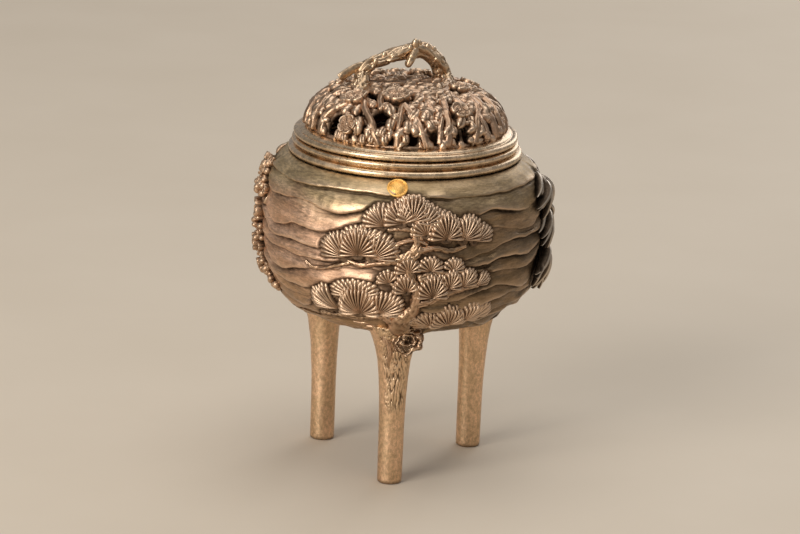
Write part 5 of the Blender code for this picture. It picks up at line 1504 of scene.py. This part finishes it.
# %% Handle
HANDLE_STOPS = [
    (-21.4, -4.2, 177.0, 4.0), (-21.2, -3.9, 182.2, 3.4), (-20.8, -3.2, 188.0, 3.2),
    (-17.0, -2.0, 191.6, 3.4), (-11.0, 0.0, 193.6, 3.5), (-4.1, 2.2, 196.0, 3.5), (1.9, 5.0, 197.3, 3.5),
    (7.2, 7.8, 196.4, 3.6), (11.5, 10.2, 192.9, 4.1), (14.6, 12.3, 188.2, 4.3), (16.6, 13.9, 182.0, 4.6),
    (17.6, 14.8, 176.0, 5.2),
]  # fmt: skip
SAWN = [(-18.6, -2.6, 190.4, 2.0), (-22.8, -3.6, 190.6, 2.1), (-27.4, -4.8, 188.2, 2.2),
        (-32.0, -6.2, 185.0, 2.2)]  # fmt: skip
SPUR = [(3.4, 2.0, 199.0, 2.4), (1.8, -0.8, 196.0, 2.3), (0.4, -2.0, 193.2, 2.0), (-0.6, -2.4, 190.6, 1.3)]
FORK = [(-20.6, -4.6, 189.0, 1.9), (-23.2, -6.2, 184.6, 1.9), (-26.0, -7.4, 180.4, 1.6)]
BUTTRESS = [(-20.8, -3.6, 188.0, 2.9), (-21.8, -7.0, 184.2, 3.1), (-21.6, -10.6, 180.4, 2.8),
            (-21.0, -13.6, 177.4, 2.0)]  # fmt: skip
CLAW = [(17.2, 12.4, 186.0, 3.2), (18.6, 9.0, 181.6, 3.0), (20.4, 4.6, 178.6, 2.2)]
SHOOTS = [(-9.0, -1.6, 195.0, 1.6), (-3.0, -0.6, 197.6, 1.7), (2.2, 1.8, 199.2, 2.0),
          (7.6, 4.6, 197.8, 2.0), (12.0, 7.4, 193.4, 1.5)]  # fmt: skip
shells = [
    air_limb(HANDLE_STOPS, 71, 200, 0.32, 44),
    air_limb(SAWN, 72, 60, 0.10, 28, 0.62, (1, 0.12)),
    air_limb(SPUR, 73, 44, 0.22, 22),
    air_limb(FORK, 74, 44, 0.22, 22),
    air_limb(BUTTRESS, 76, 60, 0.32, 32),
    air_limb(CLAW, 77, 50, 0.32, 30),
    air_limb(SHOOTS, 75, 90, 0.2, 22),
]
HANDLE_BUDS = [  # x, y, z and radius
    (2.6, 1.8, 202.0, 1.9), (4.6, 3.4, 201.6, 1.5), (8.4, 5.0, 199.8, 1.7), (0.4, 0.6, 200.0, 1.4),
    (-11.6, -0.6, 196.2, 1.5), (-3.0, 0.6, 198.8, 1.4), (-15.5, -3.4, 193.6, 1.5), (11.5, 9.4, 197.4, 1.5),
    (-28.6, -8.6, 179.6, 1.9), (-6.2, 0.4, 196.6, 1.3), (-24.4, -7.8, 183.0, 1.3),
]  # fmt: skip
for x, y, z, radius in HANDLE_BUDS:
    place = free_patch((x, y, z - 1.2 * radius), (0.1, -0.3, 1), (0, 1, 0))
    shells.append(bud(place, radius, 2.3 * radius))
make_piece("handle_branch", shells, handle_bronze, "lid", "bronze", ["lid_handle"])

# %% [markdown]
# ## Hidden joints
#
# The dowels in the legs' heads and the pins in the handle's roots are right as the CAD made them, and can't
# be seen. They keep their meshes and get the bronze.

# %% Finish the CAD nodes that stay
stay = ["leg_dowel_pine", "leg_dowel_bamboo", "leg_dowel_plum", "handle_pin_left", "handle_pin_right"]
for name in stay:
    for material_slot in frame["nodes"][name].material_slots:
        material_slot.material = leg_bronze
print("kept CAD nodes:", stay)

# %% [markdown]
# ## Floor and light
#
# The burner stands on a plain pale floor. Metal shows what it reflects, so the lamps are large soft panels:
# a tall one at the front left for the long highlights on the legs and the belly, one overhead for the
# shoulder and the rings, and a weak one behind. The right side is left to the dim world, as in the photo.

# %% Floor
floor_material = bpy.data.materials.new("pale_floor")
floor_material.use_nodes = True
tree = floor_material.node_tree
shader = tree.nodes["Principled BSDF"]
shader.inputs["Roughness"].default_value = 0.65
cloudy = node(tree, "ShaderNodeTexNoise", inputs={"Scale": 9.0, "Detail": 5.0})
place = node(tree, "ShaderNodeTexCoord").outputs["Object"]
tree.links.new(place, cloudy.inputs["Vector"])
tone = mix_colour(tree, cloudy.outputs[0], (0.62, 0.53, 0.42, 1), (0.68, 0.59, 0.48, 1))
tree.links.new(tone, shader.inputs["Base Color"])
FLOOR_RADIUS, FLOOR_SIDES = 6, 96
turn = np.linspace(0, 2 * np.pi, FLOOR_SIDES, endpoint=False)
circle_points = [(FLOOR_RADIUS * np.cos(t), FLOOR_RADIUS * np.sin(t), 0) for t in turn]
mesh = bpy.data.meshes.new("floor")
mesh.from_pydata(circle_points, [], [list(range(FLOOR_SIDES))])
mesh.materials.append(floor_material)
floor = bpy.data.objects.new("floor", mesh)
bpy.context.scene.collection.objects.link(floor)

# %% [markdown]
# A lamp's size decides how soft a highlight's edge is, so each lamp is a rectangle turned to face the
# burner. The world gives the weak even light that fills the dark side.

# %% Lamps and world
def soft_lamp(name, at, width, height, power, colour=(1, 1, 1)):
    """A flat lamp that faces the burner's middle."""
    lamp = bpy.data.lights.new(name, "AREA")
    lamp.shape, lamp.size, lamp.size_y, lamp.energy, lamp.color = "RECTANGLE", width, height, power, colour
    thing = bpy.data.objects.new(name, lamp)
    thing.location = at
    thing.rotation_euler = (Vector((0, 0, 0.11)) - Vector(at)).to_track_quat("-Z", "Y").to_euler()
    bpy.context.scene.collection.objects.link(thing)


soft_lamp("key_lamp", (-1.35, -1.55, 0.85), 1.1, 1.65, 34, (1.0, 0.96, 0.90))
soft_lamp("top_lamp", (0.1, 0.1, 2.2), 1.9, 1.9, 19, (1.0, 0.98, 0.95))
soft_lamp("back_lamp", (0.9, 1.9, 0.9), 1.0, 1.4, 8)
world = bpy.data.worlds.new("world")
world.use_nodes = True
world.node_tree.nodes["Background"].inputs["Color"].default_value = (0.94, 0.92, 0.90, 1)
world.node_tree.nodes["Background"].inputs["Strength"].default_value = 0.34
bpy.context.scene.world = world
bpy.context.scene.view_settings.view_transform = "Standard"
